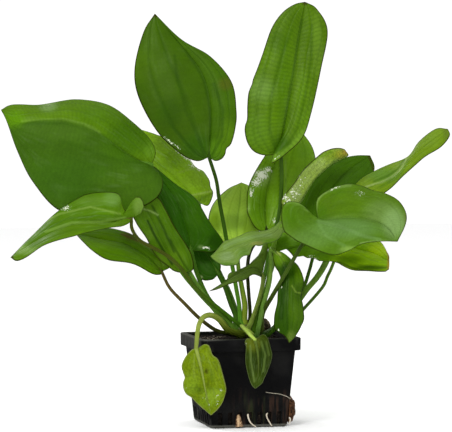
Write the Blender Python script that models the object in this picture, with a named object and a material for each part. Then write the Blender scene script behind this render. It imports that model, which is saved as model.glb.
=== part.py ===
"""An echinodorus in its square nursery pot.

Metres, +Z up. The origin is the middle of the pot's underside, and the pot's walls face X and Y. The leaves
are laid out in the plant's own frame, in millimetres: x across, y away, z up from the pot's underside. That
frame is turned a little about the pot's middle, because the plant doesn't stand square to its pot.
"""
import math

import bmesh
import bpy
from mathutils import Matrix, Vector

MM = 0.001
GAP = 0.3

# Pot, in millimetres
POT_HEIGHT = 81.0
RIM_HALF = 45.0
COLLAR_HEIGHT = 11.3
TOP_HALF = 41.7
BASE_HALF = 36.5
WALL = 1.4
CORNER_RADIUS = 5.5
CORNER_STEPS = 5
SLOT_COUNT = 7
SLOT_PITCH = 9.2
SLOT_WIDTH = 4.1
SLOT_BOTTOM = 2.6
SLOT_TOP = 14.0

SLOT_CUT = 11.0

# Substrate and crown
SUBSTRATE_TOP = 77.6
SUBSTRATE_MOUND = 1.6
MOUND_RADIUS = 22.0
PLANT_TURN = math.radians(-13.5)
CROWN_CENTRE = Vector((8.0, 1.0, 79.9))
CROWN_SIZE = Vector((13.0, 13.0, 11.0))
CROWN_SIDES = 16
CROWN_LEVELS = (0, 18, 36, 54, 72)
CLAY_CENTRE = Vector((25.5, 17.5, 84.6))
CLAY_SIZE = Vector((4.2, 4.0, 5.2))

# Roots
ROOT_STEPS = 8
ROOT_STANDOFF = 0.6
CLUMP_Y = -28.0
CLUMP_Z = 16.0
CLUMP_SIZE = Vector((7.0, 8.0, 12.5))

# Leaves
BLADE_ROWS = 11
BLADE_COLUMNS = 3
BLADE_THICKNESS = 0.9
MIDRIB_DEPTH = 0.8
STALK_RINGS = 8
STALK_CLEAR = 3.8
STALK_TRIM = 2.0
CURVE_SAMPLES = 12

COLOURS = {
    "pot": (0.012, 0.012, 0.014, 1.0),
    "substrate": (0.040, 0.028, 0.020, 1.0),
    "crown": (0.16, 0.17, 0.05, 1.0),
    "clay": (0.14, 0.075, 0.05, 1.0),
    "leaf": (0.12, 0.28, 0.03, 1.0),
    "leaf_dark": (0.05, 0.15, 0.015, 1.0),
    "leaf_pale": (0.28, 0.42, 0.14, 1.0),
    "leaf_yellow": (0.27, 0.42, 0.06, 1.0),
    "stalk": (0.13, 0.26, 0.04, 1.0),
    "root_pale": (0.66, 0.58, 0.46, 1.0),
    "root_brown": (0.20, 0.10, 0.05, 1.0),
}

# Each leaf: where its stalk leaves the crown (degrees round it and up it), its radius at foot and blade,
# how far the blade arches, the points that the stalk passes, then the midrib from base to tip and the two
# margins without their ends. Left is the left side of someone who looks along the leaf, its upper face up.
LEAVES = {
    "tall_left": {
        "root": (150, 58), "thick": (1.9, 1.5), "bulge": 0.10,
        "stalk": [(-4, 9, 122), (-10, 10, 159), (-15, 11, 189), (-19, 12, 206), (-22, 13, 223)],
        "midrib": [
            (-28.5, 15, 243.5), (-27, 22, 287), (-34.5, 30, 319.5),
            (-52, 36, 344), (-79, 42, 376.5),
        ],
        "left": [
            (-40, 13, 240), (-55.5, 14, 247.5), (-77, 20, 268),
            (-94, 28, 299.5), (-97.5, 34, 326), (-89.5, 39, 359),
        ],
        "right": [
            (-18.5, 14, 241.5), (-7.5, 14, 255), (-3, 20, 285.5),
            (-7.5, 28, 313), (-27, 35, 336.5), (-54, 39, 352.5),
        ],
    },
    "tall_right": {
        "root": (45, 58), "thick": (2.1, 1.6), "bulge": 0.10,
        "stalk": [(20, 11, 122), (26, 13, 150), (36, 18, 192), (38.5, 21, 221.5)],
        "midrib": [
            (38, 22, 247), (40.5, 26, 268.5), (45.5, 33, 295.5),
            (51, 40, 322.5), (54, 47, 349.5), (61, 55, 388),
        ],
        "left": [
            (25, 19, 245.5), (13.5, 21, 249.5), (6.5, 26, 266), (7, 33, 292),
            (14.5, 41, 320.5), (25, 49, 354), (45, 54, 379),
        ],
        "right": [
            (29.5, 10, 238), (42, 13, 246), (58, 21, 261.5), (66.5, 30, 285.5),
            (75.5, 41, 324.5), (82, 50, 361), (72, 54, 381.5),
        ],
    },
    "upright_back": {
        "root": (85, 58), "thick": (1.9, 1.5), "bulge": 0.16,
        "stalk": [(7.7, 14, 107.5), (6.4, 20, 132), (9.5, 30, 155)],
        "midrib": [(25, 45, 174), (24.3, 58, 198), (29, 72, 223), (38.7, 85, 249), (50.3, 95, 271)],
        "left": [(15, 44, 180), (6.5, 48, 195.5), (9.2, 60, 218.5), (23.5, 76, 243.5), (38, 89, 262)],
        "right": [(40, 50, 178.5), (59, 62, 195), (72.5, 76, 221), (71, 88, 247), (61, 94, 264)],
    },
    "back_centre": {
        "root": (120, 58), "thick": (1.8, 1.4), "bulge": 0.12,
        "stalk": [(3.5, 16, 112), (-1, 22, 136)],
        "midrib": [(-2, 28, 157.5), (-2, 50, 177), (0, 68, 197.5), (1.8, 85, 218.5)],
        "left": [(-16, 36, 165), (-29, 50, 179.5), (-25.5, 62, 198), (-12.5, 75, 211.5)],
        "right": [(11, 44, 162), (20, 62, 178), (20.5, 80, 200), (11, 86, 214)],
    },
    "folded_right": {
        "root": (5, 58), "thick": (1.9, 1.4), "bulge": 0.04,
        "stalk": [(20.9, 2, 106), (26.4, 2, 131.5), (36.5, 4, 163.5)],
        "midrib": [
            (45.8, 8, 193.5), (56, 14, 204.5), (68.5, 26, 222.5),
            (83.5, 38, 236), (98, 50, 250.5),
        ],
        "left": [(40, 6, 202), (50.5, 16, 219), (63, 28, 233.5), (79, 42, 246.5)],
        "right": [(55.5, 22, 196.5), (65, 38, 214.5), (79.5, 50, 230), (93.5, 56, 242)],
    },
    "back_right": {
        "root": (38, 22), "thick": (1.9, 1.4), "bulge": 0.10,
        "stalk": [(39.3, 7, 102), (51.3, 9, 121.7), (60.6, 12, 147.3), (67, 16, 168)],
        "midrib": [(70, 22, 183.6), (82, 45, 208), (98.7, 66, 227.7), (124, 88, 244)],
        "left": [(63, 32, 196), (71, 55, 219.6), (86.5, 74, 237), (106, 86, 244)],
        "right": [(86.8, 24, 190), (104, 40, 205), (120, 58, 219.5), (127.5, 76, 232)],
    },
    "far_right": {
        "root": (15, 22), "thick": (1.8, 1.4), "bulge": 0.08,
        "stalk": [
            (41.2, 5, 90), (58.7, 7, 104.4), (75.3, 10, 124.4),
            (79.9, 12, 140), (84.5, 14, 172.5),
        ],
        "midrib": [
            (93.6, 8, 197), (115, 14, 213.5), (140.5, 22, 225),
            (156.5, 28, 241), (172.5, 34, 254.5), (193.5, 40, 269.5),
        ],
        "left": [
            (101.7, 26, 211), (113.5, 36, 224), (138, 42, 236),
            (156, 38, 244), (166.5, 40, 258), (182.5, 44, 269.5),
        ],
        "right": [
            (112, 4, 199), (136, 10, 212.5), (151, 18, 227),
            (170, 26, 242.5), (186.5, 32, 252.5), (195, 37, 263),
        ],
    },
    "front_right": {
        "root": (332, 22), "thick": (2.2, 1.6), "bulge": 0.10,
        "stalk": [
            (21.8, -4, 101.6), (31.8, -8, 122), (43.5, -14, 143.4),
            (54.3, -22, 162.3), (65, -34, 180),
        ],
        "midrib": [
            (70, -44, 188.5), (90, -44, 191), (112, -46, 189.5),
            (130.5, -51, 182.5), (140.5, -58, 169.5),
        ],
        "left": [
            (67.5, -32, 200.5), (74.5, -20, 210), (91, -10, 219), (111, -12, 217),
            (132.5, -20, 212), (147, -34, 200), (149, -48, 184),
        ],
        "right": [
            (61, -42, 196.5), (52, -44, 204), (40, -50, 197), (38, -58, 181),
            (51.5, -66, 170), (73, -72, 162), (96, -74, 165), (120, -68, 170),
        ],
    },
    "under_right": {
        "root": (354, 22), "thick": (2.0, 1.4), "bulge": 0.10,
        "stalk": [(43.8, -2, 100.6), (59.3, -5, 121), (73, -8, 135.7)],
        "midrib": [(82, -12, 158), (100, -15, 160), (119.7, -21, 157.5), (135, -30, 150)],
        "left": [(87, 0, 168), (105.5, 6, 174), (126, -2, 168), (134.5, -20, 157)],
        "right": [
            (60, -8, 170.5), (43, -8, 167.5), (54.5, -12, 154), (77, -22, 150.5),
            (99, -34, 144), (124, -40, 141), (133.5, -37, 142),
        ],
    },
    "pale_front": {
        "root": (312, 58), "thick": (2.0, 1.5), "bulge": 0.08,
        "stalk": [(19, -10, 115.8), (24.4, -12, 136), (27, -14, 159)],
        "midrib": [
            (31.5, -20, 175.5), (19.5, -38, 172), (4.3, -58, 168.5),
            (-12.5, -78, 163.5), (-26.5, -95, 158.5),
        ],
        "left": [
            (23.5, -34, 167), (12.5, -56, 164.5), (3.5, -76, 157),
            (-7, -90, 149.5), (-21, -98, 152),
        ],
        "right": [
            (37, -14, 183.5), (25.5, -20, 177.5), (12.5, -32, 178),
            (-3, -52, 173.5), (-18, -76, 166),
        ],
    },
    "narrow_front": {
        "root": (265, 58), "thick": (1.9, 1.6), "bulge": 0.06,
        "stalk": [(14.4, -14, 107), (17, -13.5, 130)],
        "midrib": [
            (20, -18, 149), (9, -30, 145), (-3.7, -44, 139),
            (-16, -56, 131), (-28.7, -66, 125.3),
        ],
        "left": [(19, -28, 139), (9, -42, 139), (-3.7, -56, 135.3), (-16, -64, 128)],
        "right": [(21.5, -14, 160), (12.5, -18, 153), (0, -30, 143.5), (-11, -42, 138)],
    },
    "hanging_right": {
        "root": (306, 22), "thick": (1.9, 1.3), "bulge": 0.10,
        "stalk": [(22.5, -17, 108), (28, -19, 132), (27, -17.5, 152)],
        "midrib": [
            (28, -24, 161.3), (37, -32, 153.5), (43, -42, 139),
            (42, -50, 117), (42, -55, 96), (43.5, -57, 78.3),
        ],
        "left": [
            (38.8, -24, 158.5), (47.8, -30, 150.7), (55.8, -34, 138),
            (58, -38, 123), (57.5, -44, 100), (50, -52, 83),
        ],
        "right": [(31.5, -30, 149), (37, -38, 138), (34, -44, 121), (30.5, -50, 99), (35, -54, 88)],
    },
    "rim_left": {
        "root": (238, 12), "thick": (2.2, 1.9), "bulge": 0.08,
        "stalk": [
            (-13.8, -24, 89.7), (-26.3, -38, 102), (-31.6, -45, 104.5),
            (-36.5, -51, 101), (-39.1, -56, 90.6),
        ],
        "midrib": [
            (-40, -60, 74.5), (-37.6, -62, 63.5), (-34, -63, 48.4),
            (-30.5, -62, 30.3), (-26, -60, 13.3),
        ],
        "left": [
            (-29.7, -58, 76), (-22.5, -57, 64), (-13.6, -56, 43.2),
            (-13.6, -56, 31.6), (-20, -58, 20.2),
        ],
        "right": [(-46.6, -58, 68.4), (-52.5, -57, 55), (-50.3, -57, 36.2), (-37.7, -59, 24)],
    },
    "rim_front": {
        "root": (280, 12), "thick": (1.6, 1.2), "bulge": 0.12,
        "stalk": [(1.3, -22, 91.3), (6.2, -36, 87.5), (11.5, -46, 84)],
        "midrib": [(15, -53, 80.5), (16, -57, 68.4), (16, -58, 53.2), (13.3, -56, 37.3)],
        "left": [(25, -50, 82), (28.5, -52, 72.5), (28.5, -54, 60), (21.3, -56, 45)],
        "right": [(6, -54, 80.6), (4.8, -55, 67.3), (7.4, -56, 50.3)],
    },
    "low_left": {
        "root": (150, 5), "thick": (1.3, 1.1), "bulge": 0.10,
        "stalk": [(-12, 6, 82), (-23.1, 4, 85.5), (-37.8, 4, 96.5), (-50.6, 4, 109.3), (-64.4, 3, 124)],
        "midrib": [
            (-71.7, 3, 138.7), (-84.6, 4, 152.3), (-105.8, 6, 164.2),
            (-128.8, 8, 168.7), (-151, 10, 173.2),
        ],
        "left": [
            (-75.2, -2, 135.2), (-84, -8, 136.6), (-105, -14, 146.2),
            (-127.6, -14, 153), (-141.7, -8, 163.2),
        ],
        "right": [
            (-69, 8, 144), (-83, 14, 156.4), (-96, 18, 167.2),
            (-113, 22, 175.3), (-134.3, 24, 178),
        ],
    },
    "left_front": {
        "root": (238, 40), "thick": (2.0, 1.4), "bulge": 0.10,
        "stalk": [
            (-38.4, -12, 123), (-54.7, -17, 149), (-65.5, -24, 171),
            (-75.3, -31, 185), (-87, -40, 189),
        ],
        "midrib": [
            (-98, -50, 190.5), (-112, -58, 183.7), (-130, -67, 186),
            (-151, -77, 184.6), (-174, -86, 175.3), (-202.7, -93, 157.2),
        ],
        "left": [
            (-105.6, -60, 184.7), (-123.4, -78, 180.3), (-144.4, -96, 176.8),
            (-171.2, -102, 168.4), (-194.3, -98, 155),
        ],
        "right": [
            (-88.4, -44, 197.3), (-90, -46, 208), (-100.7, -52, 198.6), (-107, -50, 207.4),
            (-119, -48, 213.5), (-140.5, -50, 210), (-168, -64, 192.8), (-194.6, -86, 165.5),
        ],
    },
    "big_left": {
        "root": (192, 26), "thick": (2.1, 1.6), "bulge": 0.10,
        "stalk": [
            (-18.5, -2.5, 102), (-34, -3, 122.5), (-48.6, -4, 148),
            (-57.8, -3, 173), (-69.5, 1, 205), (-76, 3, 224),
        ],
        "midrib": [
            (-80.5, -6, 237), (-100.5, -11, 248), (-129, -18, 268), (-165, -24, 278.6),
            (-193, -28, 277.4), (-205.5, -30, 273.8), (-216, -30, 287.3),
        ],
        "left": [
            (-73, -12, 225.4), (-75.5, -20, 211), (-95, -28, 202.5), (-131, -32, 194.5),
            (-163, -34, 196), (-187, -34, 222.5), (-201, -32, 249.5), (-211, -31, 276.5),
        ],
        "right": [
            (-77, 2, 248.7), (-83, 10, 261.5), (-99, 20, 276), (-122.5, 28, 292),
            (-153, 28, 297.4), (-184.5, 14, 292), (-207.5, -10, 291.8),
        ],
    },
    "middle_left": {
        "root": (118, 26), "thick": (1.9, 1.5), "bulge": 0.12,
        "stalk": [(-8, 26, 120), (-20, 38, 160), (-31, 40.5, 186)],
        "midrib": [
            (-38.4, 42, 200.5), (-56, 48, 219), (-80, 56, 240),
            (-99, 62, 258), (-115, 66, 275.7),
        ],
        "left": [(-46.6, 34, 194), (-65, 36, 208), (-84, 44, 229), (-100.4, 56, 249.6)],
        "right": [
            (-30, 48, 199), (-24, 55, 210), (-29.3, 62, 226),
            (-47.3, 68, 240), (-68, 72, 259.6), (-91.6, 70, 269),
        ],
    },
    "dark_left": {
        "root": (166, 30), "thick": (1.8, 1.4), "bulge": 0.08,
        "stalk": [(-14, 4.5, 99), (-28.6, 5, 114), (-39.6, 6, 137.6)],
        "midrib": [(-45, 8, 157.6), (-49.8, 12, 178.5), (-59.2, 16, 204), (-85, 14, 240)],
        "left": [(-51.5, 3, 160.7), (-62.5, 3, 175.4), (-73.6, 7, 197.3), (-81, 11, 218)],
        "right": [
            (-34, 10, 157.7), (-27, 14, 169.3), (-29.7, 20, 184.7),
            (-41, 24, 205.7), (-59.3, 22, 218.8), (-74, 18, 231),
        ],
    },
    "narrow_left": {
        "root": (215, 24), "thick": (1.9, 1.6), "bulge": 0.04,
        "stalk": [(-13, -7, 97), (-28.5, -8, 110.5), (-45.8, -8, 130)],
        "midrib": [(-59.6, -8, 146.6), (-69.5, -11, 164), (-80.3, -15, 187), (-93.7, -20, 212)],
        "left": [(-70.3, -12, 152.4), (-83, -16, 169), (-95.5, -20, 187.4)],
        "right": [(-53, -9, 159.5), (-62, -12, 181.5), (-75.7, -16, 202.7)],
    },
    "back_dark": {
        "root": (142, 28), "thick": (1.8, 1.5), "bulge": 0.10,
        "stalk": [(-7, 10.5, 98), (-14, 12.5, 112.5)],
        "midrib": [(-19.5, 16, 136), (-30, 24, 153), (-42, 33, 177), (-51.6, 42, 198)],
        "left": [(-26, 15, 130.4), (-37, 17, 132), (-45.6, 24, 150), (-52.4, 33, 173.4)],
        "right": [(-17.5, 18, 143), (-21.5, 26, 157.3), (-31, 34, 177), (-42, 40, 193.6)],
    },
}

BLADE_COLOURS = {
    "folded_right": "leaf_pale",
    "pale_front": "leaf_pale",
    "back_right": "leaf_dark",
    "back_dark": "leaf_dark",
    "dark_left": "leaf_dark",
    "rim_left": "leaf_yellow",
    "under_right": "leaf_yellow",
    "back_centre": "leaf_yellow",
}


def clear_scene():
    for thing in list(bpy.data.objects):
        bpy.data.objects.remove(thing, do_unlink=True)


def material(name, roughness=0.4, metallic=0.0):
    found = bpy.data.materials.get(name)
    if found:
        return found
    made = bpy.data.materials.new(name)
    made.use_nodes = True
    shader = made.node_tree.nodes["Principled BSDF"]
    shader.inputs["Base Color"].default_value = COLOURS[name]
    shader.inputs["Roughness"].default_value = roughness
    shader.inputs["Metallic"].default_value = metallic
    return made


def add_object(name, data, paint, parent=None):
    thing = bpy.data.objects.new(name, data)
    bpy.context.scene.collection.objects.link(thing)
    data.materials.append(paint)
    thing.parent = parent
    return thing


def mesh_from(name, points, faces, smooth_angle=40.0):
    """A mesh in metres from points in millimetres, its faces turned outwards."""
    shape = bmesh.new()
    corners = [shape.verts.new(Vector(point) * MM) for point in points]
    for face in faces:
        shape.faces.new([corners[index] for index in face])
    bmesh.ops.recalc_face_normals(shape, faces=shape.faces)
    mesh = bpy.data.meshes.new(name)
    shape.to_mesh(mesh)
    shape.free()
    mesh.shade_smooth()
    mesh.set_sharp_from_angle(angle=math.radians(smooth_angle))
    return mesh


def smooth_path(points, steps):
    """The given points joined by a smooth curve, then cut into equal steps."""
    knots = [Vector(point) for point in points]
    knots = [2 * knots[0] - knots[1]] + knots + [2 * knots[-1] - knots[-2]]
    dense = []
    for before, start, end, after in zip(knots, knots[1:], knots[2:], knots[3:]):
        for sample in range(CURVE_SAMPLES):
            t = sample / CURVE_SAMPLES
            dense.append(0.5 * (
                2 * start + (end - before) * t
                + (2 * before - 5 * start + 4 * end - after) * t * t
                + (3 * start - before - 3 * end + after) * t * t * t
            ))
    dense.append(knots[-2])
    reach = [0.0]
    for first, second in zip(dense, dense[1:]):
        reach.append(reach[-1] + (second - first).length)
    path = []
    span = 0
    for step in range(steps + 1):
        target = reach[-1] * step / steps
        while span < len(dense) - 2 and reach[span + 1] < target:
            span += 1
        share = (target - reach[span]) / max(reach[span + 1] - reach[span], 1e-9)
        path.append(dense[span].lerp(dense[span + 1], share))
    return path


def rounded_square(half, radius, height):
    """One ring of points round a square with round corners."""
    ring = []
    for corner in range(4):
        turn = corner * math.pi / 2
        centre = Vector((half - radius, half - radius, height))
        for step in range(CORNER_STEPS):
            angle = step * math.pi / 2 / (CORNER_STEPS - 1)
            offset = Vector((math.cos(angle), math.sin(angle), 0)) * radius
            x, y, z = centre + offset
            ring.append((
                x * math.cos(turn) - y * math.sin(turn),
                x * math.sin(turn) + y * math.cos(turn),
                z,
            ))
    return ring


def stack_rings(rings, caps=True):
    """Points and faces of a shape that passes through rings of equal count, closed by caps at its ends."""
    count = len(rings[0])
    points = [point for ring in rings for point in ring]
    faces = []
    for level in range(len(rings) - 1):
        low = level * count
        high = low + count
        for index in range(count):
            beside = (index + 1) % count
            faces.append((low + index, low + beside, high + beside, high + index))
    if caps:
        faces.append(tuple(range(count)))
        faces.append(tuple(range(len(points) - count, len(points))))
    return points, faces


def inner_half(height):
    """Half the width of the room inside the pot at a height."""
    share = height / POT_HEIGHT
    return BASE_HALF + (TOP_HALF - BASE_HALF) * share - WALL


def build_pot():
    """The pot: tapering wall, floor, and a collar that turns down round the rim."""
    lip = POT_HEIGHT - COLLAR_HEIGHT
    radius = CORNER_RADIUS
    rings = [
        rounded_square(BASE_HALF, radius - 1, 0),
        rounded_square(TOP_HALF, radius, POT_HEIGHT - WALL),
        rounded_square(RIM_HALF - WALL, radius, POT_HEIGHT - WALL),
        rounded_square(RIM_HALF - WALL, radius, lip),
        rounded_square(RIM_HALF, radius + WALL, lip),
        rounded_square(RIM_HALF, radius + WALL, POT_HEIGHT),
        rounded_square(inner_half(POT_HEIGHT), radius - WALL, POT_HEIGHT),
        rounded_square(inner_half(WALL), radius - 1 - WALL, WALL),
    ]
    points, faces = stack_rings(rings)
    pot = add_object("pot", mesh_from("pot", points, faces, 30), material("pot", 0.3))

    cutter = bmesh.new()
    for side in range(4):
        turn = side * math.pi / 2
        for index in range(SLOT_COUNT):
            along = slot_middle(index)
            box = bmesh.ops.create_cube(cutter, size=1.0)["verts"]
            for corner in box:
                x = along + corner.co.x * SLOT_WIDTH
                y = -BASE_HALF + corner.co.y * SLOT_CUT
                z = (SLOT_BOTTOM + SLOT_TOP) / 2 + corner.co.z * (SLOT_TOP - SLOT_BOTTOM)
                corner.co = Vector((
                    x * math.cos(turn) - y * math.sin(turn),
                    x * math.sin(turn) + y * math.cos(turn),
                    z,
                )) * MM
    mesh = bpy.data.meshes.new("slots")
    cutter.to_mesh(mesh)
    cutter.free()
    slots = add_object("slot_cutter", mesh, material("pot"))
    slots.hide_render = True
    slots.display_type = "WIRE"
    cut = pot.modifiers.new("slots", "BOOLEAN")
    cut.operation = "DIFFERENCE"
    cut.object = slots
    return pot


def substrate_height(x, y):
    """The lumpy surface of the substrate, raised a little round the crown."""
    centre = Matrix.Rotation(PLANT_TURN, 3, "Z") @ CROWN_CENTRE
    away = math.hypot(x - centre.x, y - centre.y)
    mound = SUBSTRATE_MOUND * math.exp(-((away / MOUND_RADIUS) ** 2))
    lumps = 0.45 * math.sin(x * 0.31 + 1.0) * math.cos(y * 0.27) + 0.35 * math.sin(x * 0.13 - y * 0.41)
    calm = min(1.0, away / CROWN_SIZE.x)
    return SUBSTRATE_TOP + mound + lumps * calm


def build_substrate():
    """The substrate block, a hair clear of the pot's wall and floor."""
    low = WALL + GAP
    rings = [rounded_square(inner_half(low) - GAP, CORNER_RADIUS - 1 - WALL, low)]
    for share in (1.0, 0.84, 0.68, 0.52, 0.36, 0.18):
        half = (inner_half(SUBSTRATE_TOP) - GAP - 0.2) * share
        ring = rounded_square(half, (CORNER_RADIUS - WALL) * share, 0)
        rings.append([(x, y, substrate_height(x, y)) for x, y, _ in ring])
    points, faces = stack_rings(rings)
    return add_object("substrate", mesh_from("substrate", points, faces), material("substrate", 0.9))


def crown_point(around, up, lift):
    """A point on the crown, lifted off it."""
    turn = math.radians(around)
    rise = math.radians(up)
    out = Vector((math.cos(rise) * math.cos(turn), math.cos(rise) * math.sin(turn), math.sin(rise)))
    return CROWN_CENTRE + out * CROWN_SIZE + out * lift


def build_crown(plant):
    """The short rhizome: a low dome with a flat foot on the substrate."""
    rings = []
    for up in CROWN_LEVELS:
        rings.append([crown_point(360 * index / CROWN_SIDES, up, 0) for index in range(CROWN_SIDES)])
    points, faces = stack_rings(rings)
    return add_object("crown", mesh_from("crown", points, faces, 60), material("crown", 0.6), plant)


def build_clay_lump(plant):
    """A small rough lump that lies on the substrate."""
    lump = bmesh.new()
    bmesh.ops.create_icosphere(lump, subdivisions=2, radius=1.0)
    for corner in lump.verts:
        x, y, z = corner.co
        swell = 1 + 0.10 * math.sin(5 * x + 2 * z) + 0.08 * math.cos(6 * y - z)
        corner.co = (CLAY_CENTRE + corner.co * CLAY_SIZE * swell) * MM
    mesh = bpy.data.meshes.new("clay_lump")
    lump.to_mesh(mesh)
    lump.free()
    mesh.shade_smooth()
    return add_object("clay_lump", mesh, material("clay", 0.8), plant)


def tube(name, path, radii, paint, parent, sides=6):
    """A round tube along a path, its ends closed, made from a bevelled curve."""
    curve = bpy.data.curves.new(name, "CURVE")
    curve.dimensions = "3D"
    curve.bevel_depth = MM
    curve.bevel_resolution = (sides - 4) // 2
    curve.use_fill_caps = True
    spline = curve.splines.new("POLY")
    spline.points.add(len(path) - 1)
    for point, place, radius in zip(spline.points, path, radii):
        point.co = (*(place * MM), 1.0)
        point.radius = radius
    spline.use_smooth = True
    return add_object(name, curve, paint, parent)


def build_stalk(name, leaf, plant):
    """One leaf stalk, from just off the crown to just short of its blade."""
    around, up = leaf["root"]
    foot = crown_point(around, up, GAP)
    clear = crown_point(around, up, STALK_CLEAR)
    base = Vector(leaf["midrib"][0])
    points = [foot, clear] + [Vector(point) for point in leaf["stalk"]]
    arrive = base - points[-1]
    points.append(base - arrive.normalized() * STALK_TRIM)
    path = smooth_path(points, STALK_RINGS)
    path.insert(1, foot.lerp(clear, 0.6))
    thick, thin = leaf["thick"]
    radii = [thick + (thin - thick) * index / (len(path) - 1) for index in range(len(path))]
    return tube("stalk_" + name, path, radii, material("stalk", 0.4), plant)


def blade_point(leaf, rows, row, column):
    """A point of the blade's middle surface. The column runs from -1, the left margin, to 1, the right."""
    middle, left, right = (rows[key][row] for key in ("midrib", "left", "right"))
    edge = left if column < 0 else right
    side = abs(column)
    place = middle.lerp(edge, side)
    ahead = rows["midrib"][min(row + 1, BLADE_ROWS)] - rows["midrib"][max(row - 1, 0)]
    up = (right - left).cross(ahead)
    if up.length > 1e-9:
        place += up.normalized() * leaf["bulge"] * (edge - middle).length * 4 * side * (1 - side)
    return place


def build_blade(name, leaf, plant):
    """One leaf blade: a thin lens between its midrib and two margins, with the midrib proud underneath."""
    base, tip = leaf["midrib"][0], leaf["midrib"][-1]
    rows = {"midrib": smooth_path(leaf["midrib"], BLADE_ROWS)}
    for side in ("left", "right"):
        rows[side] = smooth_path([base] + leaf[side] + [tip], BLADE_ROWS)
    columns = range(-BLADE_COLUMNS, BLADE_COLUMNS + 1)
    grid = [
        [blade_point(leaf, rows, row, column / BLADE_COLUMNS) for column in columns]
        for row in range(BLADE_ROWS + 1)
    ]
    points = [grid[0][BLADE_COLUMNS], grid[-1][BLADE_COLUMNS]]
    upper, under = {}, {}
    for row in range(1, BLADE_ROWS):
        for column in columns:
            place = grid[row][column + BLADE_COLUMNS]
            if abs(column) == BLADE_COLUMNS:
                upper[row, column] = under[row, column] = len(points)
                points.append(place)
                continue
            across = grid[row][column + BLADE_COLUMNS + 1] - grid[row][column + BLADE_COLUMNS - 1]
            along = grid[row + 1][column + BLADE_COLUMNS] - grid[row - 1][column + BLADE_COLUMNS]
            normal = across.cross(along).normalized()
            upper[row, column] = len(points)
            points.append(place + normal * BLADE_THICKNESS / 2)
            under[row, column] = len(points)
            depth = BLADE_THICKNESS / 2 + (MIDRIB_DEPTH if column == 0 else 0)
            points.append(place - normal * depth)
    for column in columns:
        upper[0, column] = under[0, column] = 0
        upper[BLADE_ROWS, column] = under[BLADE_ROWS, column] = 1
    faces = []
    for row in range(BLADE_ROWS):
        for column in columns[:-1]:
            for sheet in (upper, under):
                ring = (
                    sheet[row, column], sheet[row, column + 1],
                    sheet[row + 1, column + 1], sheet[row + 1, column],
                )
                face = tuple(dict.fromkeys(ring))
                faces.append(face if sheet is upper else face[::-1])
    paint = material(BLADE_COLOURS.get(name, "leaf"), 0.35)
    return add_object("leaf_" + name, mesh_from("leaf_" + name, points, faces, 80), paint, plant)


def wall_half(height):
    """Half the width of the pot's body, outside, at a height."""
    return BASE_HALF + (TOP_HALF - BASE_HALF) * height / (POT_HEIGHT - WALL)


def slot_middle(index):
    return (index - (SLOT_COUNT - 1) / 2) * SLOT_PITCH


def build_roots():
    """Roots that have grown out of the front slots, and a thin one that lies on the front wall."""
    start = -wall_half(12) + 0.7
    outside = -BASE_HALF
    broad, left, right = slot_middle(2), slot_middle(3), slot_middle(5)
    thin_y = -wall_half(33) - GAP - ROOT_STANDOFF
    plans = {
        "root_broad": ("root_brown", (1.3, 1.5), [
            (broad, start, 11), (broad - 1, outside - 2.4, 10),
            (broad - 2, outside - 3.6, 6), (broad - 1.4, outside - 4, 1.9),
        ]),
        "root_pale_left": ("root_pale", (1.0, 0.7), [
            (left, start, 11.5), (left + 0.2, outside - 2, 11),
            (left + 3, outside - 3.2, 6), (left + 6.6, outside - 4, 1.2),
        ]),
        "root_pale_right": ("root_pale", (1.0, 0.6), [
            (right, start, 12), (right - 0.8, outside - 2, 12),
            (right + 1.8, outside - 3.2, 6), (right + 4, outside - 4, 1.2),
        ]),
        "root_thin": ("root_pale", (0.35, 0.45), [
            (13.5, thin_y, 32), (20, thin_y, 33.2), (27, thin_y, 32.6),
            (34, thin_y, 30.4), (38.6, thin_y + ROOT_STANDOFF, 28.4),
        ]),
    }
    for name, (paint, (thick, thin), points) in plans.items():
        path = smooth_path(points, ROOT_STEPS)
        radii = [thick + (thin - thick) * index / ROOT_STEPS for index in range(ROOT_STEPS + 1)]
        tube(name, path, radii, material(paint, 0.6), None)


def build_root_clump():
    """The tangle of roots that bulges out of the right wall, flat where it lies on the wall."""
    centre = Vector((wall_half(CLUMP_Z), CLUMP_Y, CLUMP_Z))
    clump = bmesh.new()
    bmesh.ops.create_icosphere(clump, subdivisions=3, radius=1.0)
    for corner in clump.verts:
        x, y, z = corner.co
        swell = 1 + 0.09 * math.sin(7 * y + 3 * z) + 0.07 * math.sin(9 * z - 4 * x)
        place = centre + corner.co * CLUMP_SIZE * swell
        place.x = max(place.x, wall_half(place.z) + GAP)
        corner.co = place * MM
    mesh = bpy.data.meshes.new("root_clump")
    clump.to_mesh(mesh)
    clump.free()
    mesh.shade_smooth()
    return add_object("root_clump", mesh, material("root_brown", 0.8))


def main():
    clear_scene()
    plant = bpy.data.objects.new("plant", None)
    bpy.context.scene.collection.objects.link(plant)
    plant.rotation_euler.z = PLANT_TURN
    build_pot()
    build_substrate()
    build_crown(plant)
    build_clay_lump(plant)
    for name, leaf in LEAVES.items():
        build_stalk(name, leaf, plant)
        build_blade(name, leaf, plant)
    build_roots()
    build_root_clump()


main()
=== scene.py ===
import math
import random

import bmesh
import bpy
from mathutils import Matrix, Vector, noise


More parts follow.
